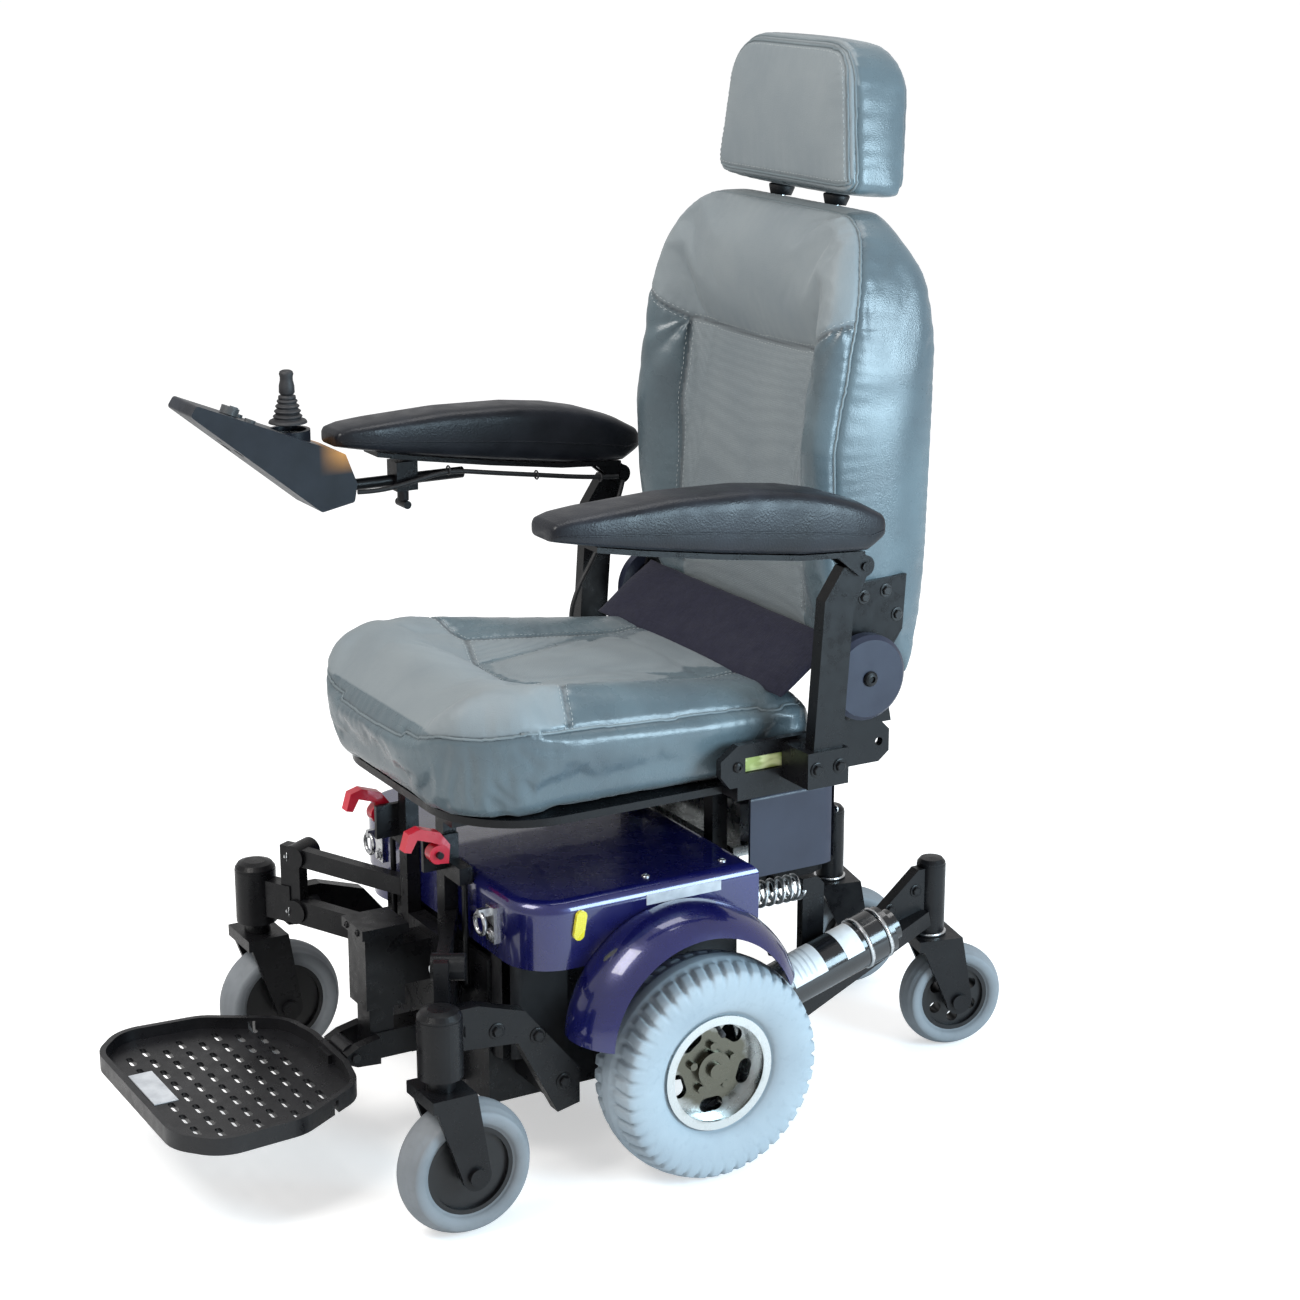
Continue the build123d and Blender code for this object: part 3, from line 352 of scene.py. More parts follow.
def make_materials():
    """Every material by the record slot that it finishes, and some that only details use."""
    black = (0.005, 0.005, 0.006), (0.013, 0.013, 0.015)
    upholstery("seat_vinyl", (0.175, 0.205, 0.222), (0.212, 0.242, 0.255), (0.075, 0.10, 0.115),
               (0.105, 0.145, 0.165))
    metallic_paint("shroud_blue", (0.004, 0.004, 0.06), (0.007, 0.012, 0.15))
    tyre_rubber("tyre_grey", (0.27, 0.32, 0.365), (0.35, 0.41, 0.455))
    tyre_rubber("caster_grey", (0.17, 0.185, 0.20), (0.24, 0.26, 0.28))
    lens("reflector_amber", (0.65, 0.55, 0.01), (0.95, 0.88, 0.05))
    brushed("steel", (0.45, 0.46, 0.47), (0.72, 0.73, 0.74), (0.2, 0.36))
    # the first, darker colour is painted shade inside the wheel's dish
    cast_alloy("alloy", (0.13, 0.125, 0.10), (0.58, 0.60, 0.60))
    # the orange colour is a painted reflection on the controller's rear top
    plastic_with_painted_reflection("controller_plastic", (0.006, 0.008, 0.013), (0.012, 0.016, 0.025), (0.7, 0.32, 0.08),
                 AXLE_Y - 0.204)
    pad_leather("pad_black", (0.006, 0.007, 0.01), (0.013, 0.015, 0.021))
    # near black: dark fabric, and painted shade of the gap behind the seat
    cloth("gap_cover_fabric", (0.007, 0.007, 0.018), (0.014, 0.014, 0.033))
    stripes("label_green", (0.30, 0.36, 0.10), (0.68, 0.72, 0.36))
    surface("frame_black", (0.004, 0.004, 0.005), (0.009, 0.009, 0.01), (0.22, 0.4), grain=1400,
            Specular_IOR_Level=0.24)
    surface("battery_case", (0.03, 0.03, 0.034), (0.05, 0.05, 0.055), (0.5, 0.7))
    surface("black_plastic", *black, (0.36, 0.56), Specular_IOR_Level=0.35)
    surface("footplate_plastic", *black, (0.24, 0.4), grain=700, depth=0.0002, Specular_IOR_Level=0.4)
    surface("slate_plastic", (0.013, 0.016, 0.032), (0.021, 0.026, 0.047), (0.3, 0.48),
            Specular_IOR_Level=0.4)
    surface("cable_rubber", (0.008, 0.008, 0.009), (0.016, 0.017, 0.019), (0.45, 0.6), grain=500)
    surface("soft_rubber", (0.012, 0.012, 0.014), (0.024, 0.024, 0.027), (0.5, 0.68))
    surface("button_plastic", (0.05, 0.055, 0.06), (0.09, 0.095, 0.1), (0.25, 0.4))
    surface("motor_black", (0.006, 0.006, 0.007), (0.014, 0.014, 0.016), (0.12, 0.25), Coat_Weight=0.5,
            Coat_Roughness=0.08)
    surface("lever_red", (0.42, 0.004, 0.02), (0.62, 0.01, 0.035), (0.25, 0.4), Coat_Weight=0.4)
    surface("hub_black", (0.005, 0.005, 0.006), (0.011, 0.011, 0.012), (0.28, 0.42),
            Specular_IOR_Level=0.4)
    surface("piping", (0.12, 0.15, 0.165), (0.17, 0.205, 0.22), (0.35, 0.5), grain=1200)
    surface("thread", (0.30, 0.33, 0.34), (0.42, 0.45, 0.46), (0.5, 0.7), grain=2500)
    surface("label_grey", (0.42, 0.44, 0.47), (0.6, 0.62, 0.65), (0.35, 0.55), blotches=60)
    surface("label_white", (0.62, 0.64, 0.66), (0.8, 0.82, 0.84), (0.35, 0.5), blotches=50)
    floor_paper()


# Meshes


def mesh_object(name, points, faces, material, smooth=True):
    """A mesh object from points and faces."""
    mesh = bpy.data.meshes.new(name)
    mesh.from_pydata([tuple(point) for point in points], [], faces)
    mesh.validate()
    mesh.update()
    mesh.shade_smooth() if smooth else mesh.shade_flat()
    obj = bpy.data.objects.new(name, mesh)
    bpy.context.scene.collection.objects.link(obj)
    mesh.materials.append(material)
    return obj


def joined(parts):
    """Several (points, faces) pairs as one."""
    points, faces = [], []
    for part_points, part_faces in parts:
        first = len(points)
        points += list(part_points)
        faces += [tuple(first + index for index in face) for face in part_faces]
    return points, faces


def loft(rings, closed=False):
    """A skin over rings that all have the same number of points, capped at open ends."""
    count = len(rings[0])
    points = [point for ring in rings for point in ring]
    faces = []
    for level in range(len(rings) if closed else len(rings) - 1):
        here, there = level * count, (level + 1) % len(rings) * count
        for index in range(count):
            after = (index + 1) % count
            faces.append((here + index, here + after, there + after, there + index))
    if not closed:
        faces += [tuple(reversed(range(count))), tuple(range(len(points) - count, len(points)))]
    return points, faces


def circle_round(centre, normal, radius, sides, start=None):
    """Points of a circle, and the direction of its first point."""
    normal = normal.normalized()
    start = start or normal.orthogonal()
    start = (start - normal * start.dot(normal)).normalized()
    other = normal.cross(start)
    turns = [2 * math.pi * index / sides for index in range(sides)]
    return [centre + (start * math.cos(turn) + other * math.sin(turn)) * radius for turn in turns], start


def tube(path, radius, sides=10, closed=False):
    """A round tube along a path of points."""
    first, last = (path[-1], path[0]) if closed else (path[0], path[-1])
    rings, start = [], None
    for before, point, after in zip([first, *path], path, [*path[1:], last]):
        ring, start = circle_round(point, after - before, radius, sides, start)
        rings.append(ring)
    return loft(rings, closed)


def lathe(profile, centre, axis, sides=48):
    """A shape turned about an axis. The profile holds millimetres along the axis and radius."""
    axis = axis.normalized()
    start = axis.orthogonal()
    return loft([circle_round(centre + axis * along * MM, axis, radius * MM, sides, start)[0]
                 for along, radius in profile])


def smooth_path(controls, closed=False, step=0.002):
    """Points about one step apart on a smooth curve through the control points."""
    if closed:
        run = [controls[-1], *controls, *controls[:2]]
    else:
        run = [controls[0], *controls, controls[-1]]
    path = []
    for a, b, c, d in zip(run, run[1:], run[2:], run[3:]):
        pieces = max(1, round((c - b).length / step))
        for t in (index / pieces for index in range(pieces)):
            path.append(0.5 * (2 * b + (c - a) * t + (2 * a - 5 * b + 4 * c - d) * t ** 2
                               + (3 * b - a - 3 * c + d) * t ** 3))
    return path if closed else [*path, controls[-1]]


def ramp(value, stops):
    """A height read from a list of (place, height) stops, for one value or for an array."""
    return np.interp(value, *zip(*stops))


def each(function, values):
    """What a function gives for every number in an array."""
    return np.array([function(value) for value in values])


def placed(obj, body, slot, replaced=(), span=()):
    """Rides a piece on its body, or, for a piece that spans two bodies, bakes its place into its mesh."""
    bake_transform(obj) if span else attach(obj, body)
    if replaced:
        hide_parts(*replaced)
    return obj


def piece(name, shape, body, slot, replaced=(), span=(), look=None, smooth=True):
    """A new piece of the chair. Its material is its slot's, unless it has a look of its own."""
    return placed(mesh_object(name, *shape, LOOKS[look or slot], smooth), body, slot, replaced, span)


# Cushions

VOXEL = 0.006
CLOTH_FRAMES = 20
PRESSURE = 4.0
PIN_WIDTH = 0.005
PIPE_RADIUS = 0.0017
GROOVE_DEPTH, GROOVE_WIDTH = 0.0024, 0.0042
PUCKER_DEPTH, PUCKER_REACH, PUCKER_PITCH = 0.00045, 0.018, 0.017
STITCH_PITCH, STITCH_LENGTH, STITCH_RADIUS = 0.0052, 0.0034, 0.00042


def tree_of(obj):
    """A search tree over an object's faces."""
    return BVHTree.FromObject(obj, bpy.context.evaluated_depsgraph_get())


def near_surface(tree, points):
    """The points moved to the nearest place on a surface."""
    return [tree.find_nearest(point)[0] for point in points]


def apply_modifiers(obj):
    """Makes what an object's modifiers show its own mesh."""
    evaluated = obj.evaluated_get(bpy.context.evaluated_depsgraph_get())
    mesh = bpy.data.meshes.new_from_object(evaluated)
    old = obj.data
    obj.modifiers.clear()
    obj.data = mesh
    bpy.data.meshes.remove(old)
    mesh.shade_smooth()


def read(obj, what="co"):
    """An object's points, or their normals, as an array."""
    flat = np.zeros(len(obj.data.vertices) * 3, np.float32)
    obj.data.vertices.foreach_get(what, flat)
    return flat.reshape(-1, 3).astype(float)


def chair_columns(obj, origin=(0, 0, 0)):
    """The x, y and z of an object's points in chair millimetres from a place."""
    return ((read(obj) - np.array(at(*origin))) / MM).T


def write_points(obj, points):
    """Moves an object's points."""
    obj.data.vertices.foreach_set("co", points.astype(np.float32).ravel())
    obj.data.update()


def seam_distances(points, seams):
    """How far each point is from its nearest seam, and how far along that seam."""
    tree, along = KDTree(sum(len(seam) for seam in seams)), []
    for seam in seams:
        run = 0.0
        for index, point in enumerate(seam):
            if index:
                run += (point - seam[index - 1]).length
            tree.insert(point, len(along))
            along.append(run)
    tree.balance()
    found = [tree.find(Vector(point)) for point in points]
    return np.array([hit[2] for hit in found]), np.array([along[hit[1]] for hit in found])


def puff(obj, seams, cap):
    """Blows a cushion up with a cloth simulation that its seams hold down."""
    scene = bpy.context.scene
    rest = read(obj)
    held = np.nonzero(seam_distances(rest, seams)[0] < PIN_WIDTH)[0].tolist()
    obj.vertex_groups.new(name="pins").add(held, 1.0, "REPLACE")
    modifier = obj.modifiers.new("Cloth", "CLOTH")
    settings = modifier.settings
    settings.quality = 4
    settings.vertex_group_mass = "pins"
    settings.use_pressure = True
    settings.uniform_pressure_force = PRESSURE
    settings.effector_weights.gravity = 0
    settings.tension_stiffness = settings.compression_stiffness = 12
    modifier.point_cache.frame_end = CLOTH_FRAMES
    for step in range(1, CLOTH_FRAMES + 1):
        scene.frame_set(step)
    apply_modifiers(obj)
    scene.frame_set(1)
    moved = read(obj) - rest
    length = np.linalg.norm(moved, axis=1)
    write_points(obj, rest + moved * np.minimum(1.0, cap / np.maximum(length, 1e-9))[:, None])


def crease(obj, seams):
    """Presses the seams into a cushion, puckers the cover beside them and marks the grooves for painted
    shade.
    """
    points, normals = read(obj), read(obj, "normal")
    distance, along = seam_distances(points, seams)
    groove = GROOVE_DEPTH * np.exp(-(distance / GROOVE_WIDTH) ** 2)
    waves = np.sin(along * 2 * math.pi / PUCKER_PITCH + 3 * np.sin(along * 41))
    waves *= np.exp(-distance / PUCKER_REACH) * PUCKER_DEPTH * (1 - np.exp(-(distance / 0.006) ** 2))
    write_points(obj, points + normals * (waves - groove)[:, None])
    # the seam value tells the material where to paint shade in the grooves
    keep_value(obj, "seam", np.exp(-(distance / 0.0022) ** 2))


def keep_value(obj, name, values):
    """Keeps a number on each point of an object for its material."""
    attribute = obj.data.attributes.get(name) or obj.data.attributes.new(name, "FLOAT", "POINT")
    attribute.data.foreach_set("value", np.asarray(values, np.float32))


def wrinkle(obj, centre, toward, reach, amount, folds=9):
    """Folds that run out from a seam's corner and fade."""
    points, normals = read(obj), read(obj, "normal")
    away = points - np.array(centre)
    length = np.linalg.norm(away, axis=1)
    axis = toward.normalized()
    side = axis.cross(Vector((0, 1, 0.2))).normalized()
    angle = np.arctan2(away @ np.array(side), away @ np.array(axis))
    fade = np.exp(-(length / reach) ** 2) * (length > 0.004) * np.exp(-(angle / 0.9) ** 2)
    write_points(obj, points + normals * (np.sin(angle * folds) * fade * amount)[:, None])


def kept_inside(obj, low, high):
    """Stops a cushion at the faces of a box."""
    write_points(obj, np.clip(read(obj), np.array(low), np.array(high)))


def stitches(seams, tree, offsets):
    """Rows of short threads beside the seams."""
    parts = []
    for seam in seams:
        run = 0.0
        for before, here in zip(seam, seam[1:]):
            span = (here - before).length
            run += span
            if run < STITCH_PITCH or span < 1e-6:
                continue
            run = 0.0
            ahead = (here - before).normalized()
            normal = tree.find_nearest(here)[1]
            for offset in offsets:
                spot, lift, _, _ = tree.find_nearest(here + ahead.cross(normal).normalized() * offset)
                middle, run_out = spot + lift * STITCH_RADIUS * 0.4, ahead * STITCH_LENGTH
                parts.append(loft([
                    circle_round(middle + run_out * share, ahead, STITCH_RADIUS * size, 5, normal)[0]
                    for share, size in ((-0.5, 0.4), (-0.3, 1), (0.3, 1), (0.5, 0.4))]))
    return joined(parts)


def piping(seams, tree):
    """Covered cords that lie along closed seams."""
    return joined([tube(near_surface(tree, seam[::2]), PIPE_RADIUS, 8, True) for seam in seams])


def cushion(name, rings, seams, cap):
    """A cushion: a lofted form with an even skin, puffed between its seams, then subdivided."""
    obj = mesh_object(name, *loft(rings), LOOKS["seat_vinyl"])
    modifier = obj.modifiers.new("Remesh", "REMESH")
    modifier.mode = "VOXEL"
    modifier.voxel_size = VOXEL
    obj.modifiers.new("Smooth", "SMOOTH").iterations = 6
    apply_modifiers(obj)
    puff(obj, settle_seams(obj, seams), cap)
    modifier = obj.modifiers.new("Subdivision", "SUBSURF")
    modifier.levels = modifier.render_levels = 1
    apply_modifiers(obj)
    return obj


def settle_seams(obj, seams):
    """The seams, moved to a cushion's skin."""
    tree = tree_of(obj)
    return [near_surface(tree, seam) for seam in seams]


def dress(obj, body, node, creased, piped, stitched, offsets=(-0.0045, 0.0045)):
    """Creases a cushion's seams, pipes and stitches them, and joins it all to the frame."""
    crease(obj, creased)
    tree = tree_of(obj)
    placed(obj, body, "seat_vinyl", [node])
    piece(f"{obj.name}_piping", piping(piped, tree), body, "seat_vinyl", look="piping")
    piece(f"{obj.name}_stitching", stitches(stitched, tree, offsets), body, "seat_vinyl", look="thread")


def rounded_outline(half_x, y0, y1, front_radius, rear_radius, inset, steps=10):
    """Points of a rounded rectangle, anticlockwise, moved inwards by the inset."""
    x, front, rear = half_x - inset, y0 + inset, y1 - inset
    corners = [(x, rear, rear_radius, 0), (-x, rear, rear_radius, 90),
               (-x, front, front_radius, 180), (x, front, front_radius, 270)]
    outline = []
    for corner_x, corner_y, radius, start in corners:
        radius = max(radius - inset, 6)
        centre_x = corner_x - math.copysign(radius, corner_x)
        centre_y = corner_y - radius if corner_y == rear else corner_y + radius
        for step in range(steps + 1):
            turn = math.radians(start + 90 * step / steps)
            outline.append((centre_x + radius * math.cos(turn), centre_y + radius * math.sin(turn)))
    return outline


# Seat cushion

SEAT_HALF, SEAT_FRONT, SEAT_REAR = 211, -286, 186
SEAT_CORNERS = (124, 30)
SEAT_BOTTOM = 431.5
SEAT_UNDER_ROUND, SEAT_TOP_ROUND = 20, 44
SEAT_HOLLOW_Z = 527
SEAT_CREST = 46
SEAT_SIDE_RISE = [(-120, 1.0), (-40, 0.9), (70, 0.45), (150, 0.1), (190, 0.0)]
SEAT_SEAM_Z = [(-290, 526), (-140, 536), (190, 531)]
SEAT_PANEL_X = 112
SEAT_PANEL_Y = -107


def seat_top(x, y):
    """Height of the seat's top before it is puffed: hollow, with raised front and sides."""
    side = math.exp(-((abs(x) - 162) / 40) ** 2) * ramp(y, SEAT_SIDE_RISE)
    front = math.exp(-((y + 200) / 58) ** 2) * (0.8 + 0.2 * min(1.0, (x / 150) ** 2))
    return SEAT_HOLLOW_Z + SEAT_CREST * max(side, front) - 5 * min(1.0, max(0.0, (y - 40) / 150))


def seat_front_seam(x):
    """How far forward the seam behind the seat's front panel lies."""
    if abs(x) < SEAT_PANEL_X:
        return SEAT_PANEL_Y - 20 * (1 - (x / SEAT_PANEL_X) ** 2)
    return SEAT_PANEL_Y - (abs(x) - SEAT_PANEL_X) * 0.3


def seat_outline(inset, *grow, steps=10):
    """The seat's outline from above, grown at its sides, front and rear, then moved inwards."""
    half, front, rear = grow or (0, 0, 0)
    return rounded_outline(SEAT_HALF + half, SEAT_FRONT - front, SEAT_REAR + rear, *SEAT_CORNERS,
                           inset, steps)


def seat_rings():
    """Levels of the seat cushion from its underside to the middle of its top."""
    rings = []
    for share in (1.0, 0.6, 0.3, 0.1, 0.0):
        height = SEAT_BOTTOM + SEAT_UNDER_ROUND * (1 - math.sin(math.acos(1 - share)))
        rings.append([at(x, y, height) for x, y in seat_outline(SEAT_UNDER_ROUND * share)])
    rings.append([at(x, y, 480) for x, y in seat_outline(-3)])
    for inset in (0, 1, 4, 9, 16, 24, 33, 44, 56, 70, 85, 100, 120, 165):
        drop = SEAT_TOP_ROUND - math.sqrt(SEAT_TOP_ROUND ** 2 - max(0.0, SEAT_TOP_ROUND - inset) ** 2)
        rings.append([at(x, y, seat_top(x, y) - drop) for x, y in seat_outline(inset)])
    return rings


def seat_seams():
    """The seat's panel seams, and last the loop round its side wall."""

    def on_top(x, y):
        return at(x, y, seat_top(x, y) + 3)

    edge = SEAT_PANEL_X
    seams = [[on_top(x, seat_front_seam(x)) for x in range(-edge, edge + 1, 28)]]
    seams += [[on_top(side * edge, y) for y in range(SEAT_PANEL_Y, 190, 25)] for side in (1, -1)]
    for side in (1, -1):
        wing = [on_top(side * x, seat_front_seam(x)) for x in (edge, 140, 165, 190)]
        seams.append(wing + [at(side * 214, seat_front_seam(214), 532)])
    loop = [at(x, y, ramp(y, SEAT_SEAM_Z)) for x, y in seat_outline(0, 6, 6, 4, steps=8)]
    return [smooth_path(seam) for seam in seams] + [smooth_path(loop, True)]


def make_seat():
    """Seat cushion with a knitted centre, a front panel, two glossy wings and a side wall."""
    seams = seat_seams()
    obj = cushion("seat_pad", seat_rings(), seams, 0.012)
    kept_inside(obj, at(-219.5, -294, SEAT_BOTTOM - 0.5), at(219.5, 190.5, 585))
    x, y, z = chair_columns(obj)
    top = z > ramp(y, SEAT_SEAM_Z)
    rear = top & (y > each(seat_front_seam, x))
    keep_value(obj, "weave", rear & (np.abs(x) < SEAT_PANEL_X))
    keep_value(obj, "gloss", rear & (np.abs(x) >= SEAT_PANEL_X) | ~top)
    seams = settle_seams(obj, seams)
    dress(obj, "base", "seat_cushion", seams, seams[-1:], seams[:-1])


# Back cushion

BACK_FRONT = [(512, 322), (571, 262), (579, 206), (640, 184), (680, 176), (800, 170), (930, 190),
              (1000, 208), (1052, 232)]
BACK_REAR = [(512, 322), (560, 330), (661, 338), (900, 344), (985, 334), (1052, 300)]
BACK_RIDGE = [(590, 226), (680, 200), (800, 196), (936, 221), (1000, 236), (1035, 250), (1075, 262)]
BACK_HOLLOW = [(579, 2), (640, 24), (717, 38), (752, 44), (850, 49), (903, 49), (940, 36), (985, 15),
               (1040, 4)]
BACK_ACROSS = [(0, 1.0), (0.52, 0.98), (0.66, 0.86), (0.76, 0.32), (0.84, 0.0), (0.9, 0.0)]
BACK_PANEL = [(590, 136), (700, 140), (903, 144)]
BACK_LEVELS = [512, 530, 555, 570, 574, 580, 596, 625, 660, 700, 750, 800, 850, 900, 930, 955, 975, 992,
               1007, 1020, 1031, 1040, 1047, 1052]
YOKE_X, YOKE_Z = 144, 900


def back_half_width(z):
    """Half width of the back at a height: nearly straight, with round shoulders."""
    if z < 600:
        return 190 + (z - 508) / 92 * 21
    if z < 920:
        return 211
    rise = min(1.0, (z - 920) / 136)
    return 108 + 103 * (1 - rise ** 2) ** 0.4


def back_ridge(z):
    """How far back the edge of the back's side walls lies."""
    return max(ramp(z, BACK_RIDGE), ramp(z, BACK_FRONT) + 6) if z > 579 else ramp(z, BACK_FRONT) + 8


def back_front(x, z):
    """How far back the back's front lies: hollow in the middle, with a bolster on each side."""
    across = min(1.0, abs(x) / back_half_width(z))
    bolster = ramp(z, BACK_FRONT)
    front = bolster + ramp(z, BACK_HOLLOW) * ramp(across, BACK_ACROSS)
    turn = max(0.0, (across - 0.9) / 0.1)
    return front + (back_ridge(z) - bolster) * turn ** 2


def yoke_seam(x):
    """Height of the seam under the back's yoke panel."""
    if abs(x) < YOKE_X:
        return YOKE_Z - 6 * (1 - (x / YOKE_X) ** 2)
    return YOKE_Z + (abs(x) - YOKE_X) * 0.62


def back_rings():
    """Levels of the back cushion from its lower edge to its top."""
    rings = []
    for z in BACK_LEVELS:
        half, far = back_half_width(z), ramp(z, BACK_REAR)
        radius = min(30, (far - back_ridge(z)) * 0.45)
        ring = []
        for side, start in ((1, 0), (-1, 90)):
            for step in range(9):
                turn = math.radians(start + 90 * step / 8)
                ring.append(at(side * (half - radius) + radius * math.cos(turn),
                               far - radius + radius * math.sin(turn), z))
        across = [-half * math.cos(math.pi * step / 48) for step in range(49)]
        rings.append(ring + [at(x, back_front(x, z), z) for x in across])
    return rings


def back_seams():
    """The back's panel seams, then the ridge round its front, and last the loop round its rear."""

    def on_front(x, z):
        return at(x, back_front(x, z), z)

    seams = [[on_front(x, yoke_seam(x)) for x in range(-YOKE_X, YOKE_X + 1, 24)]]
    for side in (1, -1):
        seams.append([on_front(side * x, yoke_seam(x)) for x in (YOKE_X, 158, 172, 186, 200, 211)])
    for side in (1, -1):
        seams.append([on_front(side * ramp(z, BACK_PANEL), z) for z in range(YOKE_Z, 593, -20)])
    left, right = [[at(side * (back_half_width(z) + 3), back_ridge(z), z)
                    for z in (600, 640, 680, 740, 800, 870, 936, 975, 1003, 1022, 1036, 1046)]
                   for side in (1, -1)]
    seams.append(left + [at(x, 258, 1062) for x in (90, 45, 0, -45, -90)] + right[::-1])
    rear = [at(x * 0.93, 352, 785 + (z - 785) * 0.93) for x, z in back_face_outline()]
    return [smooth_path(seam) for seam in seams] + [smooth_path(rear, True)]


def back_face_outline():
    """The back's outline seen from behind, as (x, z) points."""
    left = [(back_half_width(z), z) for z in (530, 600, 700, 800, 900, 950, 985, 1015, 1038)]
    right = [(-x, z) for x, z in reversed(left)]
    return left + [(60, 1050), (-60, 1050)] + right + [(-90, 518), (90, 518)]


def make_back():
    """Back cushion with a yoke, a knitted centre, two gathered bolsters and deep side walls."""
    seams = back_seams()
    obj = cushion("back_pad", back_rings(), seams, 0.013)
    kept_inside(obj, at(-221, 158, 512), at(221, 356, 1066))
    for side in (1, -1):
        corner = at(side * YOKE_X, back_front(YOKE_X, YOKE_Z), YOKE_Z)
        wrinkle(obj, corner, Vector((side * 0.45, 0, -1)), 0.085, 0.0026)
        wrinkle(obj, at(side * 205, 200, 940), Vector((-side * 0.2, 0, -1)), 0.06, 0.0014)
    x, y, z = chair_columns(obj)
    ridge = each(back_ridge, z)
    front = y < np.where(np.abs(x) > 0.93 * each(back_half_width, z), ridge, ridge + 50)
    yoke = front & (z > each(yoke_seam, x))
    centre = front & ~yoke & (np.abs(x) < ramp(z, BACK_PANEL))
    keep_value(obj, "weave", centre)
    keep_value(obj, "gloss", ~(yoke | centre))
    seams = settle_seams(obj, seams)
    dress(obj, "back", "back_cushion", seams, seams[-2:-1], seams[:-2])


# Headrest

HEAD_BASE = (296, 1068)
HEAD_LEAN = math.radians(8)
HEAD_HEIGHT = 168
HEAD_DEPTH = (-46, 42)
HEAD_FACE_LEAN = 0.08
HEAD_LEVELS = (0, 2, 6, 12, 20, 30, 50, 75, 100, 120, 132, 143, 151, 158, 163, 166, 168)
HEAD_LOOP_LEVELS = (10, 18, 40, 60, 80, 100, 118, 132, 144, 153, 159)


def on_head(x, depth, height):
    """A point in the headrest's own leaning axes. Its front face leans less than its rear."""
    if depth < 0:
        depth -= height * HEAD_FACE_LEAN
    cos, sin = math.cos(HEAD_LEAN), math.sin(HEAD_LEAN)
    return at(x, HEAD_BASE[0] + depth * cos + height * sin, HEAD_BASE[1] - depth * sin + height * cos)


def head_half_width(height):
    """Half width of the headrest at a height, with rounded corners in front view."""
    half = 146 - 26 * height / HEAD_HEIGHT
    for radius, left in ((44, height - HEAD_HEIGHT + 44), (14, 14 - height)):
        if left > 0:
            half -= radius - math.sqrt(max(0.0, radius ** 2 - left ** 2))
    return half


def head_rings():
    """Levels of the headrest from its underside to its crowned top."""
    rings = []
    for height in HEAD_LEVELS:
        crown = 16 * max(0.0, (height - 110) / 50) ** 2
        slope = 5 * max(0.0, (20 - height) / 20) ** 2
        front, rear = HEAD_DEPTH[0] + crown * 0.6 + slope, HEAD_DEPTH[1] - crown - slope
        outline = rounded_outline(head_half_width(height), front, rear, 14, 26, 0, 6)
        rings.append([on_head(x, depth, height) for x, depth in outline])
    return rings


def head_loop(depth, inset):
    """A loop round the headrest's front face."""
    points = [(head_half_width(height) - inset, height) for height in HEAD_LOOP_LEVELS]
    points += [(x, 164 - inset) for x in (64, 32, 0, -32, -64)]
    points += [(inset - head_half_width(height), height) for height in reversed(HEAD_LOOP_LEVELS)]
    points += [(x, 4 + inset) for x in (-110, -60, 0, 60, 110)]
    return smooth_path([on_head(x, depth, height) for x, height in points], True)


def make_headrest():
    """Headrest with a double row of piping round its front."""
    front, second, rear = head_loop(-44, 3), head_loop(-32, -1), head_loop(38, 4)
    obj = cushion("head_pad", head_rings(), [front, rear], 0.009)
    low = on_head(-150, -52, 0)
    kept_inside(obj, (low.x, low.y, on_head(0, 0, -3).z),
                (-low.x, on_head(0, 60, 160).y, at(0, 0, 1250).z))
    x, y, z = chair_columns(obj, (0, *HEAD_BASE))
    keep_value(obj, "weave", np.zeros(len(x)))
    keep_value(obj, "gloss", y * math.cos(HEAD_LEAN) - z * math.sin(HEAD_LEAN) > -38)
    seams = settle_seams(obj, [front, second, rear])
    dress(obj, "headrest", "headrest_cushion", seams, seams[:2], seams[:1], (-0.0055,))


# Armrest pads, and the cover of the gap behind the seat

PAD_UNDER = [(-206, 764), (-192, 761), (-150, 752.5), (-98, 742.5), (0, 726.5), (100, 712.5), (184, 707),
             (210, 722)]
PAD_TOP = [(-206, 776), (-200, 783), (-184, 787), (-150, 790), (-60, 795), (33, 793), (90, 786.5),
           (130, 778), (175, 763), (204, 747), (210, 738)]
PAD_X = 272
PAD_HALF = 34
PAD_END = 0.52
PAD_STATIONS = 64
PAD_LINE_RISE = 0.38


def pad_station(step):
    """Place along an armrest pad and its half width there: full, with blunt ends."""
    share = step / PAD_STATIONS
    end = PAD_END + 1.5 * math.sqrt(max(0.0, 1 - abs(2 * share - 1))) * (1 - PAD_END)
    return 2 - 206 * math.cos(math.pi * share), PAD_HALF * min(1.0, end)


def signed_power(value, power):
    """A power of a number's size, with the number's sign."""
    return math.copysign(abs(value) ** power, value)


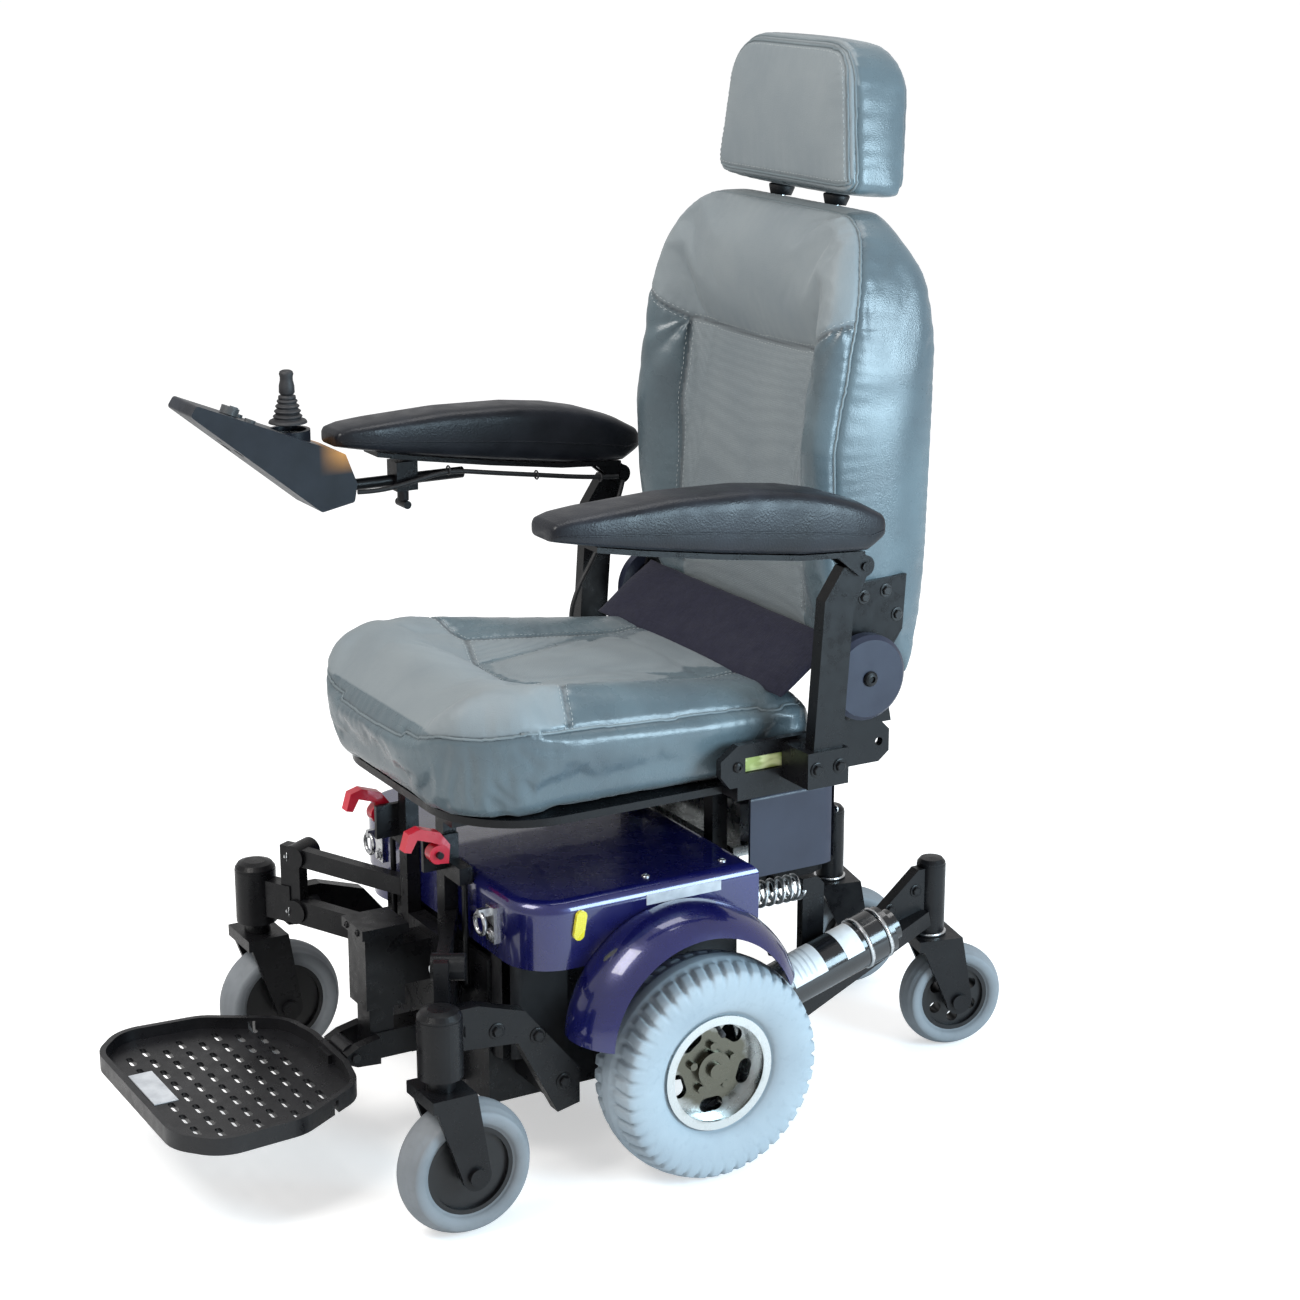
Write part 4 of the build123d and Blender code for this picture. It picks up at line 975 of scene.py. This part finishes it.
def make_armrest_pad(name, side):
    """A moulded pad, crowned along its length and round at both ends, with a line on its skin."""
    rings, lines = [], ([], [])
    for step in range(PAD_STATIONS + 1):
        y, half = pad_station(step)
        under, top = ramp(y, PAD_UNDER), ramp(y, PAD_TOP)
        ring = []
        for index in range(40):
            turn = 2 * math.pi * index / 40
            x = half * signed_power(math.cos(turn), 1 / 2.1)
            z = (top - under) / 2 * signed_power(math.sin(turn), 1 / 2.1)
            ring.append(at(PAD_X * side + x, y, (top + under) / 2 + max(z, (under - top) / 2 + 0.4)))
        rings.append(ring)
        if 4 <= step <= PAD_STATIONS - 4:
            height = under + (top - under) * PAD_LINE_RISE
            for line, offset in zip(lines, (half * 0.992, -half * 0.992)):
                line.append(at(PAD_X * side + offset, y, height))
    pad = piece(f"armrest_pad_skin_{name}", loft(rings), f"armrest_{name}", "pad_black",
                [f"armrest_pad_{name}"])
    piece(f"armrest_pad_line_{name}", joined([tube(line, 0.0009, 6) for line in lines]),
          f"armrest_{name}", "pad_black")


GAP_COVER_HALF = 213
GAP_COVER_LOW, GAP_COVER_HIGH = (128, 527), (205, 584)
GAP_COVER_STATIONS = 120


def make_gap_cover():
    """Dark padded flap that closes the gap between the seat and the back; its near-black colour is partly the
    fabric's own and partly painted shade of the gap.
    """
    (low_y, low_z), (high_y, high_z) = GAP_COVER_LOW, GAP_COVER_HIGH
    rings = []
    for step in range(GAP_COVER_STATIONS + 1):
        x = -GAP_COVER_HALF + 2 * GAP_COVER_HALF * step / GAP_COVER_STATIONS
        end = min(1.0, math.sqrt(max(0.02, 1 - abs(x / GAP_COVER_HALF) ** 12)))
        ring = []
        for turn in (2 * math.pi * index / 36 for index in range(36)):
            along = signed_power(math.cos(turn), 0.75) / 2
            out = math.sin(turn) * 8 * end
            sag = 1.5 * noise.noise(Vector((x * 0.02, turn, 3.0)))
            ring.append(at(x, (low_y + high_y) / 2 + along * (high_y - low_y) - out * 0.65,
                           (low_z + high_z) / 2 + along * (high_z - low_z) + out * 0.76 + sag))
        rings.append(ring)
    cover = piece("gap_cover_roll", loft(rings), ("base", "back"), "gap_cover_fabric", ["gap_cover"],
                  (at(0, 138, 535), at(0, 195, 577)))


# Wheels

DRIVE_BEAD_RADIUS = 0.066
CASTER_BEAD_SHARE = 0.66
REAR_CASTER_SWIVEL = math.radians(-12)


def tyre_mesh(radius, half, bead_radius, bead_half, crown, steps, tread):
    """A tyre as a closed ring: bead, bulging sidewall, shoulder and treaded crown."""
    low = Vector((bead_half, bead_radius + (radius - bead_radius) * 0.08))
    high = Vector((half * 0.84, radius - crown))
    middle = (low.y + high.y) / 2
    wall = [(bead_half, bead_radius), (bead_half + 0.0004, low.y)]
    for turn in (math.pi * step / 13 for step in range(1, 13)):
        base = low.lerp(high, (1 - math.cos(turn)) / 2)
        wall.append((base.x + (half - (low.x + high.x) / 2) * math.sin(turn), base.y))
    for step in range(9):
        x = high.x * (1 - step / 8)
        wall.append((x, radius - crown * (x / high.x) ** 2))
    profile = wall + [(-x, r) for x, r in reversed(wall[:-1])]
    rings = []
    for turn in (2 * math.pi * step / steps for step in range(steps)):
        cut = [(x, r - tread(turn, x / half, (r - middle) / (radius - middle))) for x, r in profile]
        rings.append([Vector((x, r * math.sin(turn), r * math.cos(turn))) for x, r in cut])
    points, faces = loft(rings, True)
    return points, [tuple(reversed(face)) for face in faces]


def block_tread(turn, across, rise):
    """Depth of the drive tyre's tread: staggered shoulder blocks and two grooves."""
    blocks = 44
    phase = turn * blocks / (2 * math.pi) + (0.5 if across > 0 else 0.0) + 0.5 * abs(across)
    inside = abs(phase % 1.0 - 0.5) * 2
    gap = max(0.0, min(1.0, (inside - 0.62) / 0.16))
    shoulder = max(0.0, min(1.0, (rise + 0.05) / 0.3)) if abs(across) > 0.34 else 0.0
    ring = math.exp(-((abs(across) - 0.32) / 0.035) ** 2)
    return 0.0042 * max(gap * shoulder, 0.6 * ring)


def plain_tread(turn, across, rise):
    """Depth of a caster tyre's two fine grooves."""
    return 0.0009 * math.exp(-((abs(across) - 0.42) / 0.05) ** 2) * (rise > 0.3)


def make_tyre(name, body, node, slot, half, bead_half, crown_share, steps, tread):
    """A tyre that stands for its CAD node, at the size and the swivel of the node."""
    low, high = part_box(node)
    centre, radius = (low + high) / 2, (high.z - low.z) / 2
    bead = DRIVE_BEAD_RADIUS if node.startswith("drive") else radius * CASTER_BEAD_SHARE
    points, faces = tyre_mesh(radius, half, bead, bead_half, radius * crown_share, steps, tread)
    turn = REAR_CASTER_SWIVEL if node.startswith("rear") else 0.0
    cos, sin = math.cos(turn), math.sin(turn)
    placed = [centre + Vector((p.x * cos - p.y * sin, p.x * sin + p.y * cos, p.z)) for p in points]
    piece(name, (placed, faces), body, slot, [node])


def make_wheels():
    """All six tyres, and the valves of the drive wheels."""
    for name, side in SIDES.items():
        make_tyre(f"drive_tyre_skin_{name}", f"drive_wheel_{name}", f"drive_tyre_{name}", "tyre_grey",
                  0.041, 0.027, 7 / 130, 528, block_tread)
        for end, half in (("front", 0.024), ("rear", 0.021)):
            make_tyre(f"{end}_tyre_skin_{name}", f"{end}_wheel_{name}", f"{end}_caster_tyre_{name}",
                      "caster_grey", half, half * 0.72, 0.1, 120, plain_tread)
        stem = tube([at(side * x, 0, z) for x, z in ((282, 182), (291, 184), (297, 181))], 0.0026, 8)
        cap = lathe([(0, 3.4), (7, 3.4), (8, 2.6)], at(side * 297, 0, 181), Vector((side, 0, -0.4)), 10)
        piece(f"valve_{name}", joined([stem, cap]), f"drive_wheel_{name}", "soft_rubber")


# Springs, cables, joystick

SPRING_X, SPRING_Y, SPRING_Z = 140, (118.2, 205.8), 262
SPRING_RADIUS, SPRING_WIRE = 14, 2.6
SPRING_TURNS, SPRING_STEPS = 8, 208
ARM_CABLE = [(-254, -176, 706), (-250, -150, 705), (-246, -110, 712), (-245, -60, 722), (-245, 0, 712),
             (-245, 60, 703), (-246, 110, 695), (-246, 150, 690), (-246, 176, 688)]
DROP_CABLE = [(-248, 184, 682), (-247, 178, 660), (-244, 160, 630), (-240, 138, 590), (-238, 112, 552),
              (-237, 100, 516), (-237, 106, 488)]
CABLE_RADIUS = 0.003


def make_spring(name, side):
    """A coil spring between the base and its drive unit."""
    path = []
    for share in (step / SPRING_STEPS for step in range(SPRING_STEPS + 1)):
        eased = share - 0.035 * math.sin(2 * math.pi * share)
        angle = 2 * math.pi * SPRING_TURNS * share
        y = SPRING_Y[0] + SPRING_WIRE + (SPRING_Y[1] - SPRING_Y[0] - 2 * SPRING_WIRE) * eased
        path.append(at(SPRING_X * side + SPRING_RADIUS * math.cos(angle), y,
                       SPRING_Z + SPRING_RADIUS * math.sin(angle)))
    piece(f"spring_coil_{name}", tube(path, SPRING_WIRE * MM), ("base", f"drive_unit_{name}"), "steel",
          [f"suspension_spring_{name}"], [at(SPRING_X * side, y, SPRING_Z) for y in SPRING_Y])


def cable_mesh(name, route):
    """A cable on a smooth spline that has the route's points as its control points."""
    data = bpy.data.curves.new(name, "CURVE")
    data.dimensions = "3D"
    spline = data.splines.new("NURBS")
    spline.points.add(len(route) - 1)
    for point, place in zip(spline.points, route):
        point.co = (*at(*place), 1)
    spline.order_u = 3
    spline.use_endpoint_u = True
    spline.resolution_u = 10
    data.bevel_depth = CABLE_RADIUS
    data.bevel_resolution = 4
    data.use_fill_caps = True
    obj = bpy.data.objects.new(f"{name}_line", data)
    bpy.context.scene.collection.objects.link(obj)
    bpy.context.view_layer.update()
    mesh = bpy.data.meshes.new_from_object(obj.evaluated_get(bpy.context.evaluated_depsgraph_get()))
    bpy.data.objects.remove(obj)
    mesh.shade_smooth()
    mesh.materials.clear()
    mesh.materials.append(LOOKS["cable_rubber"])
    obj = bpy.data.objects.new(name, mesh)
    bpy.context.scene.collection.objects.link(obj)
    return obj


def make_cables():
    """The controller's cable, held along the right armrest and down to the base."""
    for name, route, bodies, *span in (
            ("cable_arm", ARM_CABLE, ("armrest_right", "controller"), (-245, -60, 720), (-252, -165, 706)),
            ("cable_drop", DROP_CABLE, ("base", "armrest_right"), (-246, 170, 640), (-248, 184, 682))):
        cable = cable_mesh(f"{name}_skin", route)
        placed(cable, bodies, "cable_rubber", [name], [at(*place) for place in span])
    ties = []
    for x, y, z in ARM_CABLE[3:8:2]:
        loop = [at(x + 5.2 * math.cos(turn), y, z + 5.2 * math.sin(turn))
                for turn in np.linspace(0, 2 * math.pi, 20, endpoint=False)]
        ties.append(tube(loop, 0.0011, 6, True))
    piece("cable_ties", joined(ties), "armrest_right", "cable_rubber", look="soft_rubber")


STICK_X, STICK_Y = -269, -256
KNOB = [(828, 4.5), (830, 8), (832, 9.4), (840, 9.2), (846, 7.8), (850, 7.6), (854, 8.6), (857, 7.6),
        (858.4, 5), (858.8, 1.5)]
COLLAR = [(824, 9.0), (825, 10.6), (828, 10.2), (829.5, 6), (831, 5)]
SHAFT = [(790, 4), (830, 4)]
BOOT = [(796, 23), (799, 21.5), (801, 16), (804, 17.5), (807, 14), (810, 16), (813, 12.6), (816, 14.4),
        (819, 11), (822, 12.4), (825, 9)]
BOOT_SPLIT = 807


def make_joystick():
    """Knob, stick and ribbed boot. The profiles hold (height, radius)."""
    foot = at(STICK_X, STICK_Y, 0)
    parts = [lathe(shape, foot, UP, sides) for shape, sides in ((KNOB, 32), (COLLAR, 32), (SHAFT, 16))]
    piece("joystick_knob", joined(parts), "stick", "soft_rubber", ["joystick"])
    ribs = smooth_path([Vector((r, 0, z)) for z, r in BOOT], step=1.2)
    skirt = [(p.z, p.x) for p in ribs if p.z <= BOOT_SPLIT + 0.5]
    neck = [(p.z, p.x) for p in ribs if p.z >= BOOT_SPLIT - 1.2]
    for name, ring, bodies, low, high in (("boot_skirt", skirt, ("controller", "gimbal"), 796, 807),
                                          ("boot_neck", neck, ("gimbal", "stick"), 807, 822)):
        piece(name, lathe(ring, foot, UP, 40), bodies, "soft_rubber",
              span=[at(STICK_X, STICK_Y, z) for z in (low, high)])


# Small hardware, with its radii in millimetres


def bolt(place, axis, radius):
    """A hexagon bolt head on a washer, facing along the axis."""
    axis = axis.normalized()
    washer = lathe([(0, radius * 1.45), (radius * 0.18, radius * 1.45), (radius * 0.24, radius * 1.3)],
                   place, axis, 24)
    size = radius * MM
    head = [circle_round(place + axis * size * along, axis, size * share, 6, axis.orthogonal())[0]
            for along, share in ((0.2, 1.0), (0.65, 1.0), (0.79, 0.82))]
    return joined([washer, loft(head)])


def button_head(place, axis, radius):
    """A domed screw head with a hexagon socket."""
    dome = ((0, 1), (0.22, 1), (0.42, 0.86), (0.55, 0.6), (0.58, 0.42), (0.3, 0.38), (0.28, 0.02))
    return lathe([(along * radius, size * radius) for along, size in dome], place, axis, 24)


def make_base_bolts():
    """Fasteners on the chassis, the front arms, the seat brackets and the covers."""
    dark, bright = [], []
    for side in (1, -1):
        out = Vector((side, 0, 0))
        dark += [bolt(at(side * 223, y, z), out, 6.5) for y, z in ((-240, 206), (-190, 190), (-158, 128))]
        dark += [button_head(at(side * 232, y, z), out, 6.2)
                 for y, z in ((60, 461), (150, 461), (206, 500), (240, 500))]
        dark.append(button_head(at(side * 249, 224, 544), out, 9))
        dark += [bolt(at(side * 286, y, 462), out, 6) for y in (130, 160)]
        dark += [bolt(at(side * 60, -222, z), AHEAD, 5.5) for z in (190, 235)]
        dark.append(lathe([(0, 24.5), (3, 24.5), (8, 21), (10.5, 13), (11, 1)],
                          at(side * 258, -325, 254), UP, 40))
        bright += [button_head(at(side * x, 254, 350), -AHEAD, 4.5) for x in (90, 140)]
        bright.append(bolt(at(side * 148, -209, 286), AHEAD, 5))
        bright += [button_head(at(side * 200, y, 340), UP, 4.5) for y in (-40, 60)]
        bright += [bolt(at(side * 205, -303, z), Vector((side * 0.5, -0.87, 0)), 6) for z in (284, 214)]
    dark += [button_head(at(x, -311, 262), AHEAD, 4.2) for x in (-15, 15)]
    piece("base_bolts_dark", joined(dark), "base", "frame_black", smooth=False)
    piece("base_bolts_bright", joined(bright), "base", "steel", smooth=False)


def make_post_bezels():
    """Black guides where the headrest posts go into the back. They also stand as painted shade in the gap
    under the headrest.
    """
    lean = Vector((0, math.sin(HEAD_LEAN), math.cos(HEAD_LEAN)))
    shape = [(-24, 12.5), (-14.5, 15.5), (-12.5, 15), (-11.5, 12.5), (-11.5, 6.5)]
    # the black guides partly fill the shaded gap under the headrest, as painted shade
    guides = [lathe(shape, at(58 * side, 296, 1076), lean, 32) for side in (1, -1)]
    piece("post_bezels", joined(guides), "back", "black_plastic")


def make_body_bolts():
    """Fasteners on the pieces that move."""
    for name, side in SIDES.items():
        out = Vector((side, 0, 0))
        hinge = [bolt(at(side * 221.5, y, z), out, 5.5) for y, z in ((232, 632), (262, 636), (278, 606))]
        piece(f"hinge_plate_bolts_{name}", joined(hinge), "back", "hub_black", smooth=False)
        rear = [bolt(at(side * 121, y, z), out, 5.5) for y, z in ((350, 196), (388, 214))]
        rear.append(lathe([(0, 17.5), (3, 17.5), (7.5, 14), (8.5, 1)],
                          at(side * 112, 417, 242), UP, 32))
        piece(f"rear_arm_bolts_{name}", joined(rear), f"drive_unit_{name}", "frame_black", smooth=False)
        pads = [button_head(at(side * PAD_X, y, ramp(y, PAD_UNDER) - 6.6), -UP, 4.5) for y in (-80, 60)]
        piece(f"pad_screws_{name}", joined(pads), f"armrest_{name}", "steel", smooth=False)
        ring = lathe([(0, 14.8), (0, 20.5), (3.6, 20.5), (4.2, 19.5), (4.2, 14.8)],
                     at(side * 112, 417, 151.2), UP, 40)
        piece(f"rear_stem_ring_{name}", ring, f"rear_fork_{name}", "steel")


def curved_patch(start, end, radius, span, turns, thickness=0.0005, steps=16):
    """A thin patch bent round a round bar: span along the bar, turns as angles round it."""
    side = Vector((1, 0, 0))
    up = side.cross((end - start).normalized()).normalized()
    up = -up if up.z < 0 else up
    angles = [turns[0] + (turns[1] - turns[0]) * index / steps for index in range(steps + 1)]
    layers = [(radius, angle) for angle in angles]
    layers += [(radius + thickness, angle) for angle in reversed(angles)]
    return loft([[start.lerp(end, share) + (side * math.sin(angle) + up * math.cos(angle)) * layer
                  for layer, angle in layers] for share in span])


def make_motor_details():
    """Plain labels and steel bands on each motor."""
    for name, side in SIDES.items():
        start, end = at(180 * side, 128, 151), at(180 * side, 300, 202)
        wide = [math.radians(side * angle) for angle in (-20, 78)]
        labels = [curved_patch(start, end, 0.0301, span, wide) for span in ((0.18, 0.44), (0.60, 0.74))]
        bars = [curved_patch(start, end, 0.0306, (share, share + 0.012), (wide[0] * 0.6, wide[1] * 0.86),
                             0.0002) for share in (0.24, 0.28, 0.32, 0.36)]
        bands = [lathe([(0, 30.2), (0, 32.2), (4.5, 32.2), (4.5, 30.2)],
                       start.lerp(end, share), end - start) for share in (0.775, 0.93)]
        for kind, parts, look in (("labels", labels, "label_white"), ("label_bars", bars, "label_grey"),
                                  ("bands", bands, "steel")):
            piece(f"motor_{kind}_{name}", joined(parts), f"drive_unit_{name}", "motor_black", look=look,
                  smooth=kind == "bands")


def slab(corners, thickness, axis, bevel=0.0006):
    """A thin plate on four corners, raised along an axis, with a small edge round."""
    middle = sum(corners, Vector()) / 4
    inner = [corner.lerp(middle, bevel / (corner - middle).length) for corner in corners]
    return loft([corners, [corner + axis * (thickness - bevel) for corner in corners],
                 [corner + axis * thickness for corner in inner]])


def make_labels():
    """Plain strips where the chair carries labels, and a light patch on the footplate."""
    for name, side in SIDES.items():
        out = Vector((side, 0, 0))
        strip = [at(side * 228, y, z) for y, z in ((-55, 318), (42, 318), (42, 330), (-55, 330))]
        piece(f"shroud_strip_{name}", slab(strip, 0.0006, out), "base", "shroud_blue", look="label_grey",
              smooth=False)
        plate = [at(side * 226, y, z) for y, z in ((72, 452.5), (128, 452.5), (128, 469.5), (72, 469.5))]
        piece(f"bracket_label_{name}", slab(plate, 0.002, out), "base", "frame_black", look="label_green",
              smooth=False)
    # a plain light patch on the footplate
    patch = [at(x, y, 110) for x, y in ((-66, -562), (20, -562), (20, -534), (-66, -534))]
    piece("footplate_patch", slab(patch, 0.0012, UP), "footrest", "footplate_plastic", look="label_grey",
          smooth=False)


def paint_frame():
    """Gives every CAD node the material of its record slot."""
    slots = {part["node"]: part["material_slot"] for part in frame["record"]["subparts"]}
    for node, obj in frame["nodes"].items():
        obj.data.materials.clear()
        obj.data.materials.append(LOOKS[slots[node]])


def make_floor():
    """The pale floor."""
    corners = [(x * FLOOR_HALF, y * FLOOR_HALF, 0) for x, y in ((-1, -1), (1, -1), (1, 1), (-1, 1))]
    mesh_object("floor", corners, [(0, 1, 2, 3)], LOOKS["floor"])


def build():
    """Everything around the frame."""
    make_camera()
    make_studio()
    make_materials()
    paint_frame()
    make_floor()
    make_seat()
    make_back()
    make_headrest()
    for name, side in SIDES.items():
        make_armrest_pad(name, side)
        make_spring(name, side)
    make_gap_cover()
    make_wheels()
    make_cables()
    make_joystick()
    make_base_bolts()
    make_body_bolts()
    make_post_bezels()
    make_motor_details()
    make_labels()


build()
